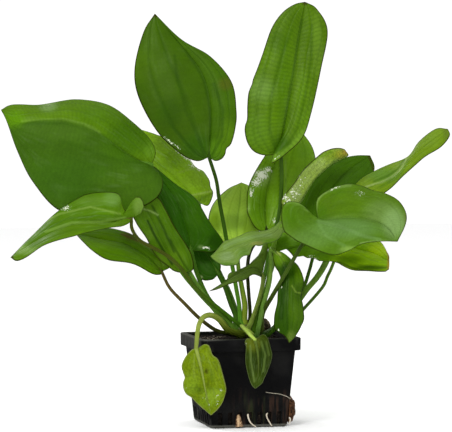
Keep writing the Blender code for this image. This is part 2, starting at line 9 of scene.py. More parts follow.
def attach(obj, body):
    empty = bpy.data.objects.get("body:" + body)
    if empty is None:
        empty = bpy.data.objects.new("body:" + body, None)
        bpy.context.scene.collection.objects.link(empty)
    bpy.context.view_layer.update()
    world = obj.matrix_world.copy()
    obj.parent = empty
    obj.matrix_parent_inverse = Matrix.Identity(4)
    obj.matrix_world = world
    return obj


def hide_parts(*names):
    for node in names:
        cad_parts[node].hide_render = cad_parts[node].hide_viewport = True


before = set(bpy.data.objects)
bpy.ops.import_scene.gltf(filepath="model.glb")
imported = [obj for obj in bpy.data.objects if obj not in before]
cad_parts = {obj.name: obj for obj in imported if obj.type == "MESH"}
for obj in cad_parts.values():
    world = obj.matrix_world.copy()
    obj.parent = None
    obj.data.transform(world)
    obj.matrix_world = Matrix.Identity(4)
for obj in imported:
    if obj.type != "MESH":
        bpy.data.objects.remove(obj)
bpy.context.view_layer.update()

# Lengths below are in millimetres. Colours are 0 to 255, as a screen shows them.
# The node trees' own defaults are in metres and in Blender's linear colour.
# Leaves are laid out in the plant's own frame: x across, y away, z up from the pot's underside.

mm = 0.001
plantTurn = Matrix.Rotation(math.radians(-13.5), 4, "Z")


def newObject(name, data):
    made = bpy.data.objects.new(name, data)
    bpy.context.scene.collection.objects.link(made)
    return made


# Camera, floor and lights

view = {
    "azimuth": -13.52, "elevation": 2.32, "distance": 2.4, "lens": 208.8, "farthest": 100,
    "aim": (-0.0128, 0.1901),  # across and up from the pot's foot, in metres
}


def makeCamera():
    azimuth = math.radians(view["azimuth"])
    elevation = math.radians(view["elevation"])
    right = Vector((math.cos(azimuth), math.sin(azimuth), 0))
    level = math.cos(elevation)
    ahead = Vector((-math.sin(azimuth) * level, math.cos(azimuth) * level, -math.sin(elevation)))
    across, up = view["aim"]
    data = bpy.data.cameras.new("camera")
    data.lens = view["lens"]
    data.clip_end = view["farthest"]
    camera = newObject("camera", data)
    camera.location = right * across + Vector((0, 0, up)) - ahead * view["distance"]
    camera.rotation_euler = ahead.to_track_quat("-Z", "Y").to_euler()
    bpy.context.scene.camera = camera


studio = {
    "sky": 1.08, "skyMirrored": 0.10,  # strength as light, and as reflection
    "lamps": {  # place in metres, size, watts
        "key": ((-1.2, -1.5, 2.1), 0.8, 32),
        "rim": ((-0.8, 1.4, 1.6), 0.5, 12),
        "fill": ((1.6, -1.5, 0.7), 1.0, 5),
    },
    "aim": (0, 0, 0.2),
}


def makeStudio():
    world = bpy.data.worlds.new("studio")
    bpy.context.scene.world = world
    world.use_nodes = True
    tree = world.node_tree
    tree.nodes.clear()
    sky = tree.nodes.new("ShaderNodeBackground")
    sky.inputs["Color"].default_value = (1, 1, 1, 1)
    mirrored = tree.nodes.new("ShaderNodeLightPath").outputs["Is Glossy Ray"]
    strength = timesPlus(tree, mirrored, studio["skyMirrored"] - studio["sky"], studio["sky"])
    tree.links.new(strength, sky.inputs["Strength"])
    out = tree.nodes.new("ShaderNodeOutputWorld")
    tree.links.new(sky.outputs[0], out.inputs["Surface"])
    for name, (place, size, watts) in studio["lamps"].items():
        data = bpy.data.lights.new(name, "AREA")
        data.energy = watts
        data.size = size
        lamp = newObject(name, data)
        lamp.location = place
        lamp.rotation_euler = (Vector(studio["aim"]) - lamp.location).to_track_quat("-Z", "Y").to_euler()


paper = {"half": 4.0, "drop": 0.0002, "white": (0.96, 0.96, 0.96, 1), "rough": 0.9}


def makeFloor():
    half, drop = paper["half"], paper["drop"]
    mesh = bpy.data.meshes.new("floor")
    corners = [(-half, -half, -drop), (half, -half, -drop), (half, half, -drop), (-half, half, -drop)]
    mesh.from_pydata(corners, [], [(0, 1, 2, 3)])
    floor = newObject("floor", mesh)
    white = bpy.data.materials.new("paper")
    white.use_nodes = True
    shader = white.node_tree.nodes["Principled BSDF"]
    shader.inputs["Base Color"].default_value = paper["white"]
    shader.inputs["Roughness"].default_value = paper["rough"]
    mesh.materials.append(white)
    floor.visible_glossy = False  # the dark pot mirrors the dim sky alone


# Helpers for materials


def paint(colour):
    # screen colour to Blender's linear colour
    linear = [((c / 255 + 0.055) / 1.055) ** 2.4 if c > 10 else c / 255 / 12.92 for c in colour]
    return (*linear, 1.0)


def feed(tree, socket, value):
    if isinstance(value, bpy.types.NodeSocket):
        tree.links.new(value, socket)
    elif value is not None:
        socket.default_value = value


def reckon(tree, operation, *values, clamp=False):
    node = tree.nodes.new("ShaderNodeMath")
    node.operation = operation
    node.use_clamp = clamp
    for socket, value in zip(node.inputs, values):
        feed(tree, socket, value)
    return node.outputs[0]


def times(tree, *values):
    # product of two or more values
    product = values[0]
    for value in values[1:]:
        product = reckon(tree, "MULTIPLY", product, value)
    return product


def timesPlus(tree, value, factor, more, clamp=False):
    return reckon(tree, "MULTIPLY_ADD", value, factor, more, clamp=clamp)


def minus(tree, first, second):
    return reckon(tree, "SUBTRACT", first, second)


def most(tree, *values):
    highest = values[0]
    for value in values[1:]:
        highest = reckon(tree, "MAXIMUM", highest, value)
    return highest


def blendColour(tree, share, first, second, how="MIX"):
    node = tree.nodes.new("ShaderNodeMix")
    node.data_type = "RGBA"
    node.blend_type = how
    feed(tree, node.inputs[0], share)
    feed(tree, node.inputs[6], first)
    feed(tree, node.inputs[7], second)
    return node.outputs[2]


def shadeBy(tree, body, shade):
    return blendColour(tree, 1.0, body, shade, "MULTIPLY")


def slope(tree, value, low, high, start=0.0, end=1.0):
    # start below low, end above high, and a smooth step between
    node = tree.nodes.new("ShaderNodeMapRange")
    node.interpolation_type = "SMOOTHSTEP"
    for socket, given in zip(node.inputs, (value, low, high, start, end)):
        feed(tree, socket, given)
    return node.outputs[0]


def grain(tree, scale, detail=2.0, stretch=None, seed=0.0):
    # noise on object coordinates, its scale in waves to a metre
    place = tree.nodes.new("ShaderNodeTexCoord").outputs["Object"]
    shift = tree.nodes.new("ShaderNodeMapping")
    tree.links.new(place, shift.inputs["Vector"])
    shift.inputs["Location"].default_value = (seed, seed * 0.7, -seed)
    if stretch:
        shift.inputs["Scale"].default_value = stretch
    node = tree.nodes.new("ShaderNodeTexNoise")
    tree.links.new(shift.outputs[0], node.inputs["Vector"])
    node.inputs["Scale"].default_value = scale
    node.inputs["Detail"].default_value = detail
    return node.outputs[0]


grainBody = (0.3, 0.7)  # nearly all of a grain's values lie between these


def spread(tree, fine, start, end):
    # a grain's values, spread from start to end
    return slope(tree, fine, *grainBody, start, end)


def sway(tree, scale, detail=2.0, swing=0.5, **how):
    # grain that swings to both sides of nothing
    return spread(tree, grain(tree, scale, detail, **how), -swing, swing)


def meshValue(tree, name):
    # what the mesh carries under this name
    node = tree.nodes.new("ShaderNodeAttribute")
    node.attribute_name = name
    return node.outputs


def splitVector(tree, vector):
    parts = tree.nodes.new("ShaderNodeSeparateXYZ")
    tree.links.new(vector, parts.inputs[0])
    return parts.outputs


def chartPlace(tree):
    # place across or around, and along, on the leaf's own chart
    chart = tree.nodes.new("ShaderNodeUVMap")
    chart.uv_map = "leafChart"
    parts = splitVector(tree, chart.outputs[0])
    return parts[0], parts[1]


def newGroup(name, inputs):
    # shader group with named inputs, which puts out a pattern's colour, roughness and height
    tree = bpy.data.node_groups.new(name, "ShaderNodeTree")
    for key, default in inputs.items():
        kind = "NodeSocketColor" if isinstance(default, tuple) else "NodeSocketFloat"
        tree.interface.new_socket(name=key, in_out="INPUT", socket_type=kind).default_value = default
    outputs = {"Color": "NodeSocketColor", "Roughness": "NodeSocketFloat", "Height": "NodeSocketFloat"}
    for key, kind in outputs.items():
        tree.interface.new_socket(name=key, in_out="OUTPUT", socket_type=kind)
    return tree, tree.nodes.new("NodeGroupInput").outputs, tree.nodes.new("NodeGroupOutput").inputs


def newMaterial(name, group, values, bump=0.0003, specular=0.5, gleam=(1, 1, 1, 1)):
    # Principled material fed by one pattern group: its Color, Roughness and Height outputs
    made = bpy.data.materials.new(name)
    made.use_nodes = True
    tree = made.node_tree
    shader = tree.nodes["Principled BSDF"]
    pattern = tree.nodes.new("ShaderNodeGroup")
    pattern.node_tree = group
    for key, value in values.items():
        pattern.inputs[key].default_value = value
    tree.links.new(pattern.outputs["Color"], shader.inputs["Base Color"])
    tree.links.new(pattern.outputs["Roughness"], shader.inputs["Roughness"])
    shader.inputs["Specular IOR Level"].default_value = specular
    shader.inputs["Specular Tint"].default_value = gleam
    relief = tree.nodes.new("ShaderNodeBump")
    relief.inputs["Strength"].default_value = 1.0
    relief.inputs["Distance"].default_value = bump
    tree.links.new(pattern.outputs["Height"], relief.inputs["Height"])
    tree.links.new(relief.outputs[0], shader.inputs["Normal"])
    return made


bpy.context.scene.view_settings.view_transform = "Standard"
makeCamera()
makeStudio()
makeFloor()
print("stage ready")


# Pattern groups

leafGreen, leafPale, leafDark = (0.1, 0.3, 0.05, 1), (0.2, 0.4, 0.1, 1), (0.05, 0.2, 0.02, 1)


veins = {  # where each fades, as a share of the blade's half, of a bay, of a rung, and of the whole width
    "middle": (0.005, 0.06), "side": (0.0, 0.17), "rung": (0.0, 0.42), "seam": (0.46, 0.54),
    "sideShare": 0.8, "rungLean": 2.6, "rungShift": 0.37, "rungStray": 1.1,
    "rim": (0.5, 1.5),  # in millimetres from the margin
}


def makeBladePattern():
    # arching veins that run with the margins, a ladder of cross veins between them, soft blotches, pale
    # streaks, and painted highlights where the mesh carries glints
    tree, given, out = newGroup("bladePattern", {
        "Left": leafGreen, "Right": leafGreen, "Vein": leafDark, "Under": leafPale, "Rim": leafDark,
        "Vein spacing": 0.36, "Vein strength": 0.5, "Rungs": 28.0, "Rung strength": 0.2, "Rung relief": 0.3,
        "Blotch": 0.14, "Gloss": 0.4, "Rim share": 0.85, "Shine": (0.6, 0.64, 0.5, 1),
        "Streak": 0.06, "Mottle": 0.0, "Streak tint": (0.3, 0.42, 0.2, 1),
    })
    side, along = chartPlace(tree)
    across = reckon(tree, "ABSOLUTE", timesPlus(tree, side, 2.0, -1.0))

    bay = reckon(tree, "DIVIDE", across, given["Vein spacing"])
    nearVein = reckon(tree, "FRACT", reckon(tree, "ADD", bay, 0.5))
    offVein = reckon(tree, "ABSOLUTE", minus(tree, nearVein, 0.5))
    sideVein = slope(tree, offVein, *veins["side"], 1.0, 0.0)
    midVein = slope(tree, across, *veins["middle"], 1.0, 0.0)
    vein = most(tree, times(tree, sideVein, veins["sideShare"]), midVein)

    rung = minus(tree, times(tree, along, given["Rungs"]), times(tree, across, veins["rungLean"]))
    rung = timesPlus(tree, reckon(tree, "FLOOR", bay), veins["rungShift"], rung)
    rung = timesPlus(tree, grain(tree, 90), veins["rungStray"], rung)
    offRung = reckon(tree, "ABSOLUTE", minus(tree, reckon(tree, "FRACT", rung), 0.5))
    ladder = slope(tree, offRung, *veins["rung"], 1.0, 0.0)

    body = blendColour(tree, slope(tree, side, *veins["seam"]), given["Left"], given["Right"])
    tint = meshValue(tree, "tint")
    body = blendColour(tree, tint["Alpha"], body, tint["Color"])
    shade = timesPlus(tree, sway(tree, 55, 3.0, seed=3.1), given["Blotch"], 1.0)
    shade = timesPlus(tree, sway(tree, 700, swing=0.04, seed=1.7), 1.0, shade)
    shade = timesPlus(tree, sway(tree, 520, seed=6.2), given["Mottle"], shade)
    body = shadeBy(tree, body, shade)
    # pale streaks along the blade: partly the leaf's own striations, partly painted sheen
    strand = tree.nodes.new("ShaderNodeCombineXYZ")
    feed(tree, strand.inputs[0], times(tree, side, 30.0))
    feed(tree, strand.inputs[1], times(tree, along, 8.0))
    strands = tree.nodes.new("ShaderNodeTexNoise")
    tree.links.new(strand.outputs[0], strands.inputs["Vector"])
    strands.inputs["Scale"].default_value = 1.0
    streak = slope(tree, strands.outputs[0], 0.48, 0.72)
    patchy = slope(tree, grain(tree, 28, seed=8.0), 0.38, 0.62)
    body = blendColour(tree, times(tree, streak, patchy, given["Streak"]), body, given["Streak tint"])
    body = blendColour(tree, times(tree, ladder, given["Rung strength"]), body, given["Vein"])
    body = blendColour(tree, times(tree, vein, given["Vein strength"]), body, given["Vein"])
    inward = meshValue(tree, "inward")["Fac"]
    rim = times(tree, slope(tree, inward, *veins["rim"], 1.0, 0.0), given["Rim share"])
    body = blendColour(tree, rim, body, given["Rim"])
    below = meshValue(tree, "below")["Fac"]
    body = blendColour(tree, times(tree, below, 0.6), body, given["Under"])
    # painted highlight: where the mesh's glint is high, noise breaks it into specks that whiten the colour
    # towards Shine; the surface is glossier there too
    paintedGlint = meshValue(tree, "glint")["Fac"]
    sparkle = timesPlus(tree, sway(tree, 900, 3.0, stretch=(1, 1, 0.6), seed=7.0), 1.1, paintedGlint)
    sparkle = times(tree, slope(tree, sparkle, 0.55, 0.95), slope(tree, paintedGlint, 0.02, 0.3))
    feed(tree, out["Color"], blendColour(tree, sparkle, body, given["Shine"]))

    rough = timesPlus(tree, sway(tree, 160, seed=5.0), 0.12, given["Gloss"])
    rough = timesPlus(tree, paintedGlint, -0.2, rough)
    feed(tree, out["Roughness"], timesPlus(tree, below, 0.15, rough))
    height = times(tree, minus(tree, 1.0, ladder), given["Rung relief"])
    height = timesPlus(tree, vein, -0.8, height)
    feed(tree, out["Height"], timesPlus(tree, grain(tree, 420, seed=2.0), 0.5, height))
    return tree


def makeStalkPattern():
    # fine lengthwise ribs, and a colour that goes from foot to blade
    tree, given, out = newGroup("stalkPattern", {
        "Foot": leafGreen, "Top": leafGreen, "Rib": leafPale, "Ribs": 9.0,
    })
    around, along = chartPlace(tree)
    body = blendColour(tree, slope(tree, along, 0.05, 0.75), given["Foot"], given["Top"])
    body = blendColour(tree, slope(tree, along, 1.0, 1.1), body, given["Rib"])
    rib = reckon(tree, "SINE", times(tree, around, given["Ribs"], 2 * math.pi))
    shade = timesPlus(tree, sway(tree, 120), 0.2, timesPlus(tree, rib, 0.06, 1.0))
    feed(tree, out["Color"], shadeBy(tree, body, shade))
    feed(tree, out["Roughness"], spread(tree, grain(tree, 200), 0.3, 0.5))
    feed(tree, out["Height"], rib)
    return tree


bladePattern = makeBladePattern()
stalkPattern = makeStalkPattern()
print("leaf patterns ready")


# Leaves: one dictionary each
# foot: degrees round the crown and up it. thick: the stalk's radius at foot and blade.
# arch: how far each half of the blade domes.
# midrib: from base to tip. left and right: the margins, as seen by someone who looks along the leaf.
# rows with Seen: finer, by pixels of the photo, across and down, and a depth where it isn't the plain row's.
# paint: the left and the right half. lines: vein spacing, vein strength, rungs, rung strength.
# waves: height, count and start of the margin's waves. stem: the stalk's paint at foot and top.
# marks, by pixels too: across, down, reach across, reach down, colour, share; some pale ones are painted
# sheen.
# glints: as marks, but painted highlights: they whiten the leaf in specks and have no colour.
# strokes: spots, half width, colour and share; where the colour is None they are painted highlights too.
# Where a leaf needs them: rim, the margin's paint; sheen, the surface's; fan, how its margins leave the base;
# mottle, how blotched its green is; streak, its pale lengthwise streaks, partly its own and partly painted
# sheen;
# flatBase, how much of it stays flat at the base; stemShade, the light at the stalk's top;
# ribSide and ribPaint, the side and paint of the rib underneath.

leaves = {}

leaves["tall_left"] = {
    "foot": (150, 58), "thick": (2.1, 1.6), "arch": 0.1,
    "midrib": [(-28.5, 15, 243.5), (-27, 22, 287), (-34.5, 30, 319.5), (-52, 36, 344), (-79, 42, 376.5)],
    "left": [(-40, 13, 240), (-55.5, 14, 247.5), (-77, 20, 268), (-94, 28, 299.5), (-97.5, 34, 326),
        (-89.5, 39, 359)],
    "right": [(-18.5, 14, 241.5), (-7.5, 14, 255), (-3, 20, 285.5), (-7.5, 28, 313), (-27, 35, 336.5),
        (-54, 39, 352.5)],
    "stalkSeen": [(239, 305, 9), (236.4, 290, 9), (232.2, 266, 10), (227.4, 245, 10.5), (223.8, 225, 11),
        (220.8, 209, 11.6), (218.6, 196, 12), (216.1, 179.7, 13)],
    "rightSeen": [(215.4, 161), (221.9, 159), (225.4, 154), (226.6, 148.6), (231.4, 143.6), (235.4, 129),
        (236.8, 111.7), (231.9, 82), (210.9, 56.8), (182, 39.6)],
    "paint": ((67, 103, 4), (70, 109, 4)), "veinPaint": (36, 74, 0), "lines": (0.36, 0.3, 30, 0.05),
    "gloss": 0.42, "waves": (0.8, 2.5, 0.2), "stem": ((84, 136, 36), (46, 76, 18)),
    "streak": 0.03,
    "marks": [(198, 148, 15, 13, (50, 96, 6), 0.6), (226, 84, 7, 6, (112, 98, 38), 0.35),
        (228, 136, 8, 18, (92, 134, 22), 0.7), (217, 149, 8, 9, (96, 146, 22), 0.6),
        (142, 64, 12, 16, (86, 124, 14), 0.6), (170, 112, 12, 14, (54, 92, 2), 0.6),
        (150, 60, 12, 30, (74, 112, 16), 0.5), (196, 62, 18, 14, (72, 110, 14), 0.4),
        (155.4, 15, 2.4, 3, (60, 56, 20), 0.9)],
    "strokes": [
        ([(205, 156), (198, 138), (186, 110), (178, 80), (175, 56)], 1.6, (40, 76, 6), 0.35),
        ([(212, 156), (222, 136), (223, 110), (214, 84)], 1.6, (40, 78, 6), 0.4),
        ([(209, 155), (211, 132), (210, 110), (204, 80), (186, 50)], 1.3, (34, 68, 4), 0.25),
        ([(203, 157), (188, 144), (170, 124)], 1.5, (44, 80, 8), 0.35),
        # painted highlights: along the lower-left margin and in the right lobe's notch
        ([(163, 136.4), (167, 139), (172, 143), (175, 144.4), (180, 148.8)], 1, None, 1),
        ([(228, 148.4), (230.4, 145.6), (231.6, 144)], 0.8, None, 0.8),
    ],
}

leaves["tall_right"] = {
    "foot": (45, 58), "thick": (2.1, 1.6), "arch": 0.1,
    "stalk": [(20, 11, 122), (26, 13, 150), (36, 18, 192), (38.5, 21, 221.5)],
    "midrib": [(38, 22, 247), (40.5, 26, 268.5), (45.5, 33, 295.5), (51, 40, 322.5), (54, 47, 349.5),
        (61, 55, 388)],
    "left": [(25, 19, 245.5), (13.5, 21, 249.5), (6.5, 26, 266), (7, 33, 292), (14.5, 41, 320.5),
        (25, 49, 354), (45, 54, 379)],
    "right": [(29.5, 10, 238), (42, 13, 246), (58, 21, 261.5), (66.5, 30, 285.5), (75.5, 41, 324.5),
        (82, 50, 361), (72, 54, 381.5)],
    "leftSeen": [(265.6, 155.4), (254.4, 151.8), (247.8, 143.4), (245, 133), (245.2, 125.6), (247.2, 119),
        (247.4, 106), (248.6, 93), (252, 84), (253.2, 79), (257.4, 68.4), (263, 52.8), (271.8, 28.4),
        (282.2, 13.2), (294.6, 4.6)],
    "paint": ((92, 133, 10), (88, 126, 8)), "veinPaint": (54, 92, 2), "lines": (0.4, 0.25, 40, 0.24),
    "gloss": 0.42, "waves": (0.8, 2, 0.6), "stem": ((70, 112, 35), (62, 96, 28)),
    "mottle": 0.08, "streak": 0.05,
    # the pale marks on the left side, the right top and the rolled base, the glint, the colourless stroke and
    # the broad pale stroke along the base curl are painted sheen and highlights
    "marks": [(296, 30, 12, 26, (80, 118, 14), 0.7), (279, 42, 8, 12, (74, 112, 8), 0.7),
        (284, 90, 8, 46, (76, 120, 16), 0.45), (262, 90, 12, 12, (116, 156, 64), 0.7),
        (303, 112, 8, 34, (108, 156, 26), 0.5), (317, 42, 5, 30, (112, 150, 46), 0.6),
        (297, 144, 6, 10, (116, 158, 44), 0.7), (273.8, 159.6, 7, 4.4, (140, 184, 66), 0.8),
        (256, 130, 14, 16, (104, 150, 40), 0.5), (282, 148, 9, 12, (56, 104, 14), 0.7),
        (305, 3.4, 2.4, 2.2, (60, 54, 20), 0.9)],
    "glints": [(271, 162, 2.2, 1.6, 0.8)],
    "strokes": [
        ([(281, 152), (285, 120), (290, 90), (296, 55), (302, 20)], 1.3, (56, 92, 4), 0.55),
        ([(277, 152), (270, 130), (270, 100), (278, 66), (292, 30)], 1.5, (60, 98, 6), 0.4),
        ([(287, 148), (298, 126), (305, 96), (311, 60), (312, 26)], 1.5, (58, 96, 6), 0.45),
        ([(271, 153), (258, 132), (258, 104), (266, 70)], 1.3, (66, 104, 8), 0.3),
        ([(269, 163), (276, 158), (281, 154)], 0.7, None, 0.7),
        ([(272, 161), (282, 154), (292, 147), (300, 139), (303, 132)], 3.6, (118, 162, 44), 0.7),
    ],
}

leaves["upright_back"] = {
    "foot": (85, 58), "thick": (1.7, 1.6), "arch": 0.16,
    "midrib": [(25, 45, 174), (24.3, 58, 198), (29, 72, 223), (38.7, 85, 249), (50.3, 95, 271)],
    "stalkSeen": [(250, 311, 12), (248.4, 288, 18), (247.6, 266, 24), (252, 248, 34)],
    "leftSeen": [(262, 231.6, 44), (255.4, 228, 44), (250, 219, 45), (247, 208, 48), (249.8, 182.9, 60),
        (264.9, 155.9, 76), (280, 136.2, 89)],
    "rightSeen": [(274, 233.6, 46), (284.4, 230, 48), (294, 220, 54), (302.8, 207.9, 62),
        (316.8, 179.7, 76), (314.8, 152, 88), (304.1, 134, 94)],
    "paint": ((112, 160, 30), (122, 170, 36)), "veinPaint": (88, 136, 22), "lines": (0.34, 0.35, 26, 0.1),
    "gloss": 0.24, "waves": (0.6, 2, 0.1), "stem": ((40, 46, 14), (30, 36, 12)),
    "streak": 0.18,
    # the first two marks, pale, round the glints, and the glints themselves are painted highlights where the
    # leaf shines
    "marks": [(263, 176, 9, 8, (160, 190, 104), 0.5), (260, 179, 8, 9, (140, 174, 84), 0.45),
        (260, 205, 10, 16, (70, 118, 12), 0.4), (303, 150, 9, 8, (100, 150, 40), 0.4),
        (290, 182, 5, 22, (138, 186, 52), 0.6)],
    "glints": [(262, 175, 6, 5, 1.7), (257, 182, 5, 4.5, 1.3), (268, 169.6, 5, 3, 1.3),
        (252, 192, 3, 5, 0.9), (264, 183, 7, 6, 0.2), (275, 221, 2.2, 4, 0.85)],
    "strokes": [
        ([(280.6, 160), (280.4, 185), (279.6, 212)], 1.1, (44, 84, 4), 0.6),
        ([(285.6, 160), (285.6, 190), (284, 214)], 1, (150, 182, 96), 0.35),
    ],
}

leaves["back_centre"] = {
    "foot": (120, 58), "thick": (3, 1.6), "arch": 0.12,
    "midrib": [(-2, 28, 157.5), (-2, 50, 177), (0, 68, 197.5), (1.8, 85, 218.5)],
    "left": [(-16, 36, 165), (-29, 50, 179.5), (-25.5, 62, 198), (-12.5, 75, 211.5)],
    "right": [(11, 44, 162), (20, 62, 178), (20.5, 80, 200), (11, 86, 214)],
    "stalkSeen": [(244.8, 306, 12), (242.3, 290, 18), (238.5, 268, 23)],
    "paint": ((178, 222, 74), (180, 224, 74)), "veinPaint": (112, 156, 20), "lines": (0.36, 0.3, 20, 0.08),
    "gloss": 0.45, "waves": (0.8, 2, 0.5), "stem": ((122, 142, 42), (104, 140, 40)),
    "marks": [(215, 222, 7, 10, (118, 158, 16), 0.9), (250, 224, 9, 12, (120, 158, 32), 0.7),
        (236, 194, 12, 8, (190, 232, 78), 0.6), (232, 222, 12, 8, (104, 146, 42), 0.6),
        (226, 190, 8, 8, (134, 172, 74), 0.5)],
}

leaves["folded_right"] = {
    "foot": (5, 58), "thick": (1.9, 1.4), "arch": 0.04,
    "stalk": [(20.9, 2, 106), (26.4, 2, 131.5), (36.5, 4, 163.5)],
    "midrib": [(45.8, 8, 193.5), (56, 14, 204.5), (68.5, 26, 222.5), (83.5, 38, 236), (98, 50, 250.5)],
    "left": [(40, 6, 202), (50.5, 16, 219), (63, 28, 233.5), (79, 42, 246.5)],
    "right": [(55.5, 22, 196.5), (65, 38, 214.5), (79.5, 50, 230), (93.5, 56, 242)],
    "leftSeen": [(281.4, 203.6), (283, 197.4), (288.4, 190), (293.6, 183), (297.4, 177.6), (303.4, 170),
        (311, 161.6), (319.6, 154.4), (325, 151), (333, 148.2), (340, 147.8)],
    "rightSeen": [(301, 203), (305.6, 195), (312, 184), (320, 174), (326, 169), (331, 165.6), (340, 160.2),
        (348.4, 155.6), (346.6, 151.6)],
    "paint": ((140, 168, 62), (132, 164, 76)), "veinPaint": (112, 138, 50), "lines": (0.3, 0.3, 44, 0.3),
    "gloss": 0.3, "waves": (0.5, 3, 0.3), "stem": ((96, 136, 52), (120, 150, 70)),
    "mottle": 0.4, "streak": 0.2,
    "marks": [(345, 152.6, 3.4, 3, (176, 142, 62), 0.9), (340, 154.6, 6, 4, (166, 164, 44), 0.8),
        (331, 155, 7, 5, (136, 166, 36), 0.7), (319, 161, 6, 5, (166, 196, 92), 0.7),
        (294, 191, 7, 10, (160, 180, 114), 0.6), (304, 177, 9, 9, (146, 170, 84), 0.6),
        (316, 166, 9, 6, (158, 180, 96), 0.5)],
    # the glints and the colourless strokes below are painted highlights, dotted over the lower left of the
    # blade
    "glints": [(286, 198, 3.4, 2.4, 0.9), (293, 189, 4, 6, 0.42), (300, 180, 4, 6, 0.34)],
    "strokes": [
        ([(284, 200), (289, 188), (297, 177), (307, 166), (318, 157.5), (331, 151.6)],
            1.5, (120, 166, 34), 0.8),
        ([(303, 198), (311, 184), (322, 171), (335, 160.4)], 1.2, (112, 146, 50), 0.6),
        ([(284.4, 194.4), (286, 197.4)], 1, None, 1.3),
        ([(283.4, 198.8), (286, 197.6), (289, 199.4)], 0.9, None, 1.4),
        ([(285, 203.4), (288, 200.6), (289.6, 199.8), (293, 202.6)], 0.9, None, 1.5),
        ([(291, 192.4), (294.6, 195)], 0.6, None, 1.2),
        ([(293, 190.8), (297, 193.4)], 0.6, None, 1),
        ([(291.6, 195.4), (296, 198)], 0.7, None, 1.2),
        ([(296.4, 188.4), (299.6, 190.6)], 0.6, None, 0.9),
        ([(297, 192.4), (300.6, 195)], 0.6, None, 0.9),
        ([(299.4, 184.6), (303.4, 187.6)], 0.6, None, 0.8),
        ([(302, 180.8), (306, 184)], 0.6, None, 0.7),
        ([(296, 184), (298.6, 186.4)], 0.6, None, 0.7),
        ([(304.6, 177), (309, 180.6)], 0.6, None, 0.6),
        ([(297.4, 178), (303.6, 170.4), (311, 162)], 0.8, (170, 206, 110), 0.8),
    ],
}

leaves["back_right"] = {
    "foot": (30, 5), "thick": (1.9, 1.4), "arch": 0.1,
    "midrib": [(70, 22, 183.6), (82, 45, 208), (98.7, 66, 227.7), (124, 88, 244)],
    "left": [(63, 32, 196), (71, 55, 219.6), (86.5, 74, 237), (106, 86, 244)],
    "right": [(86.8, 24, 190), (104, 40, 205), (120, 58, 219.5), (127.5, 76, 232)],
    "stalkSeen": [(274, 327.6, 8), (288, 311, 8), (303, 289, 9), (309.4, 271, 11), (313.4, 255, 13),
        (316, 240, 16)],
    "leftSeen": [(306, 219), (299, 210), (303, 194), (312, 178), (326, 164), (345, 157.2), (357, 154.8)],
    "paint": ((70, 112, 0), (66, 106, 0)), "veinPaint": (46, 82, 0), "lines": (0.36, 0.2, 24, 0.05),
    "gloss": 0.5, "waves": (0.5, 2, 0), "stem": ((52, 88, 20), (66, 104, 24)),
    "sheen": 0.06, "streak": 0.02,
    "marks": [(345, 165, 14, 8, (70, 112, 8), 0.5)],
    "strokes": [
        ([(368.5, 155), (371.6, 162), (373.4, 169)], 0.9, (66, 60, 14), 0.8),
    ],
}

leaves["far_right"] = {
    "foot": (8, 4), "thick": (1.6, 1.4), "arch": 0.08,
    "midrib": [(93.6, 8, 197), (115, 14, 213.5), (140.5, 22, 225), (156.5, 28, 241), (172.5, 34, 254.5),
        (193.5, 40, 269.5)],
    "left": [(101.7, 26, 211), (113.5, 36, 224), (138, 42, 236), (156, 38, 244), (166.5, 40, 258),
        (182.5, 44, 269.5)],
    "right": [(112, 4, 199), (136, 10, 212.5), (151, 18, 227), (170, 26, 242.5), (186.5, 32, 252.5),
        (195, 37, 263)],
    "stalkSeen": [(275, 330, 4), (288, 325.6, 6), (303.9, 309, 7), (322.4, 287.6, 10), (327.4, 277, 12),
        (332, 267, 13), (337, 250, 14)],
    "paint": ((120, 154, 34), (118, 152, 26)), "veinPaint": (88, 124, 26), "lines": (0.4, 0.35, 26, 0.1),
    "gloss": 0.4, "waves": (0.5, 2, 0.4), "stem": ((52, 88, 20), (88, 124, 36)),
    "rim": (56, 66, 16), "ribPaint": (110, 150, 40),
    "marks": [(384, 175, 16, 7, (96, 142, 44), 0.8), (446, 131, 3, 10, (96, 112, 44), 0.5),
        (430, 138, 8, 8, (124, 158, 48), 0.5)],
    "strokes": [
        ([(406.5, 157), (404.4, 162.6), (399.6, 170), (392, 176.6), (382, 181.8),
            (366, 186.6)], 0.9, (176, 198, 126), 0.5),
        ([(404, 160), (397.6, 169.4), (388, 175.6), (374, 181.6)], 1.1, (64, 104, 18), 0.55),
        ([(408, 160), (402, 171.6), (393, 180), (380, 187)], 1.4, (92, 132, 14), 0.6),
    ],
}

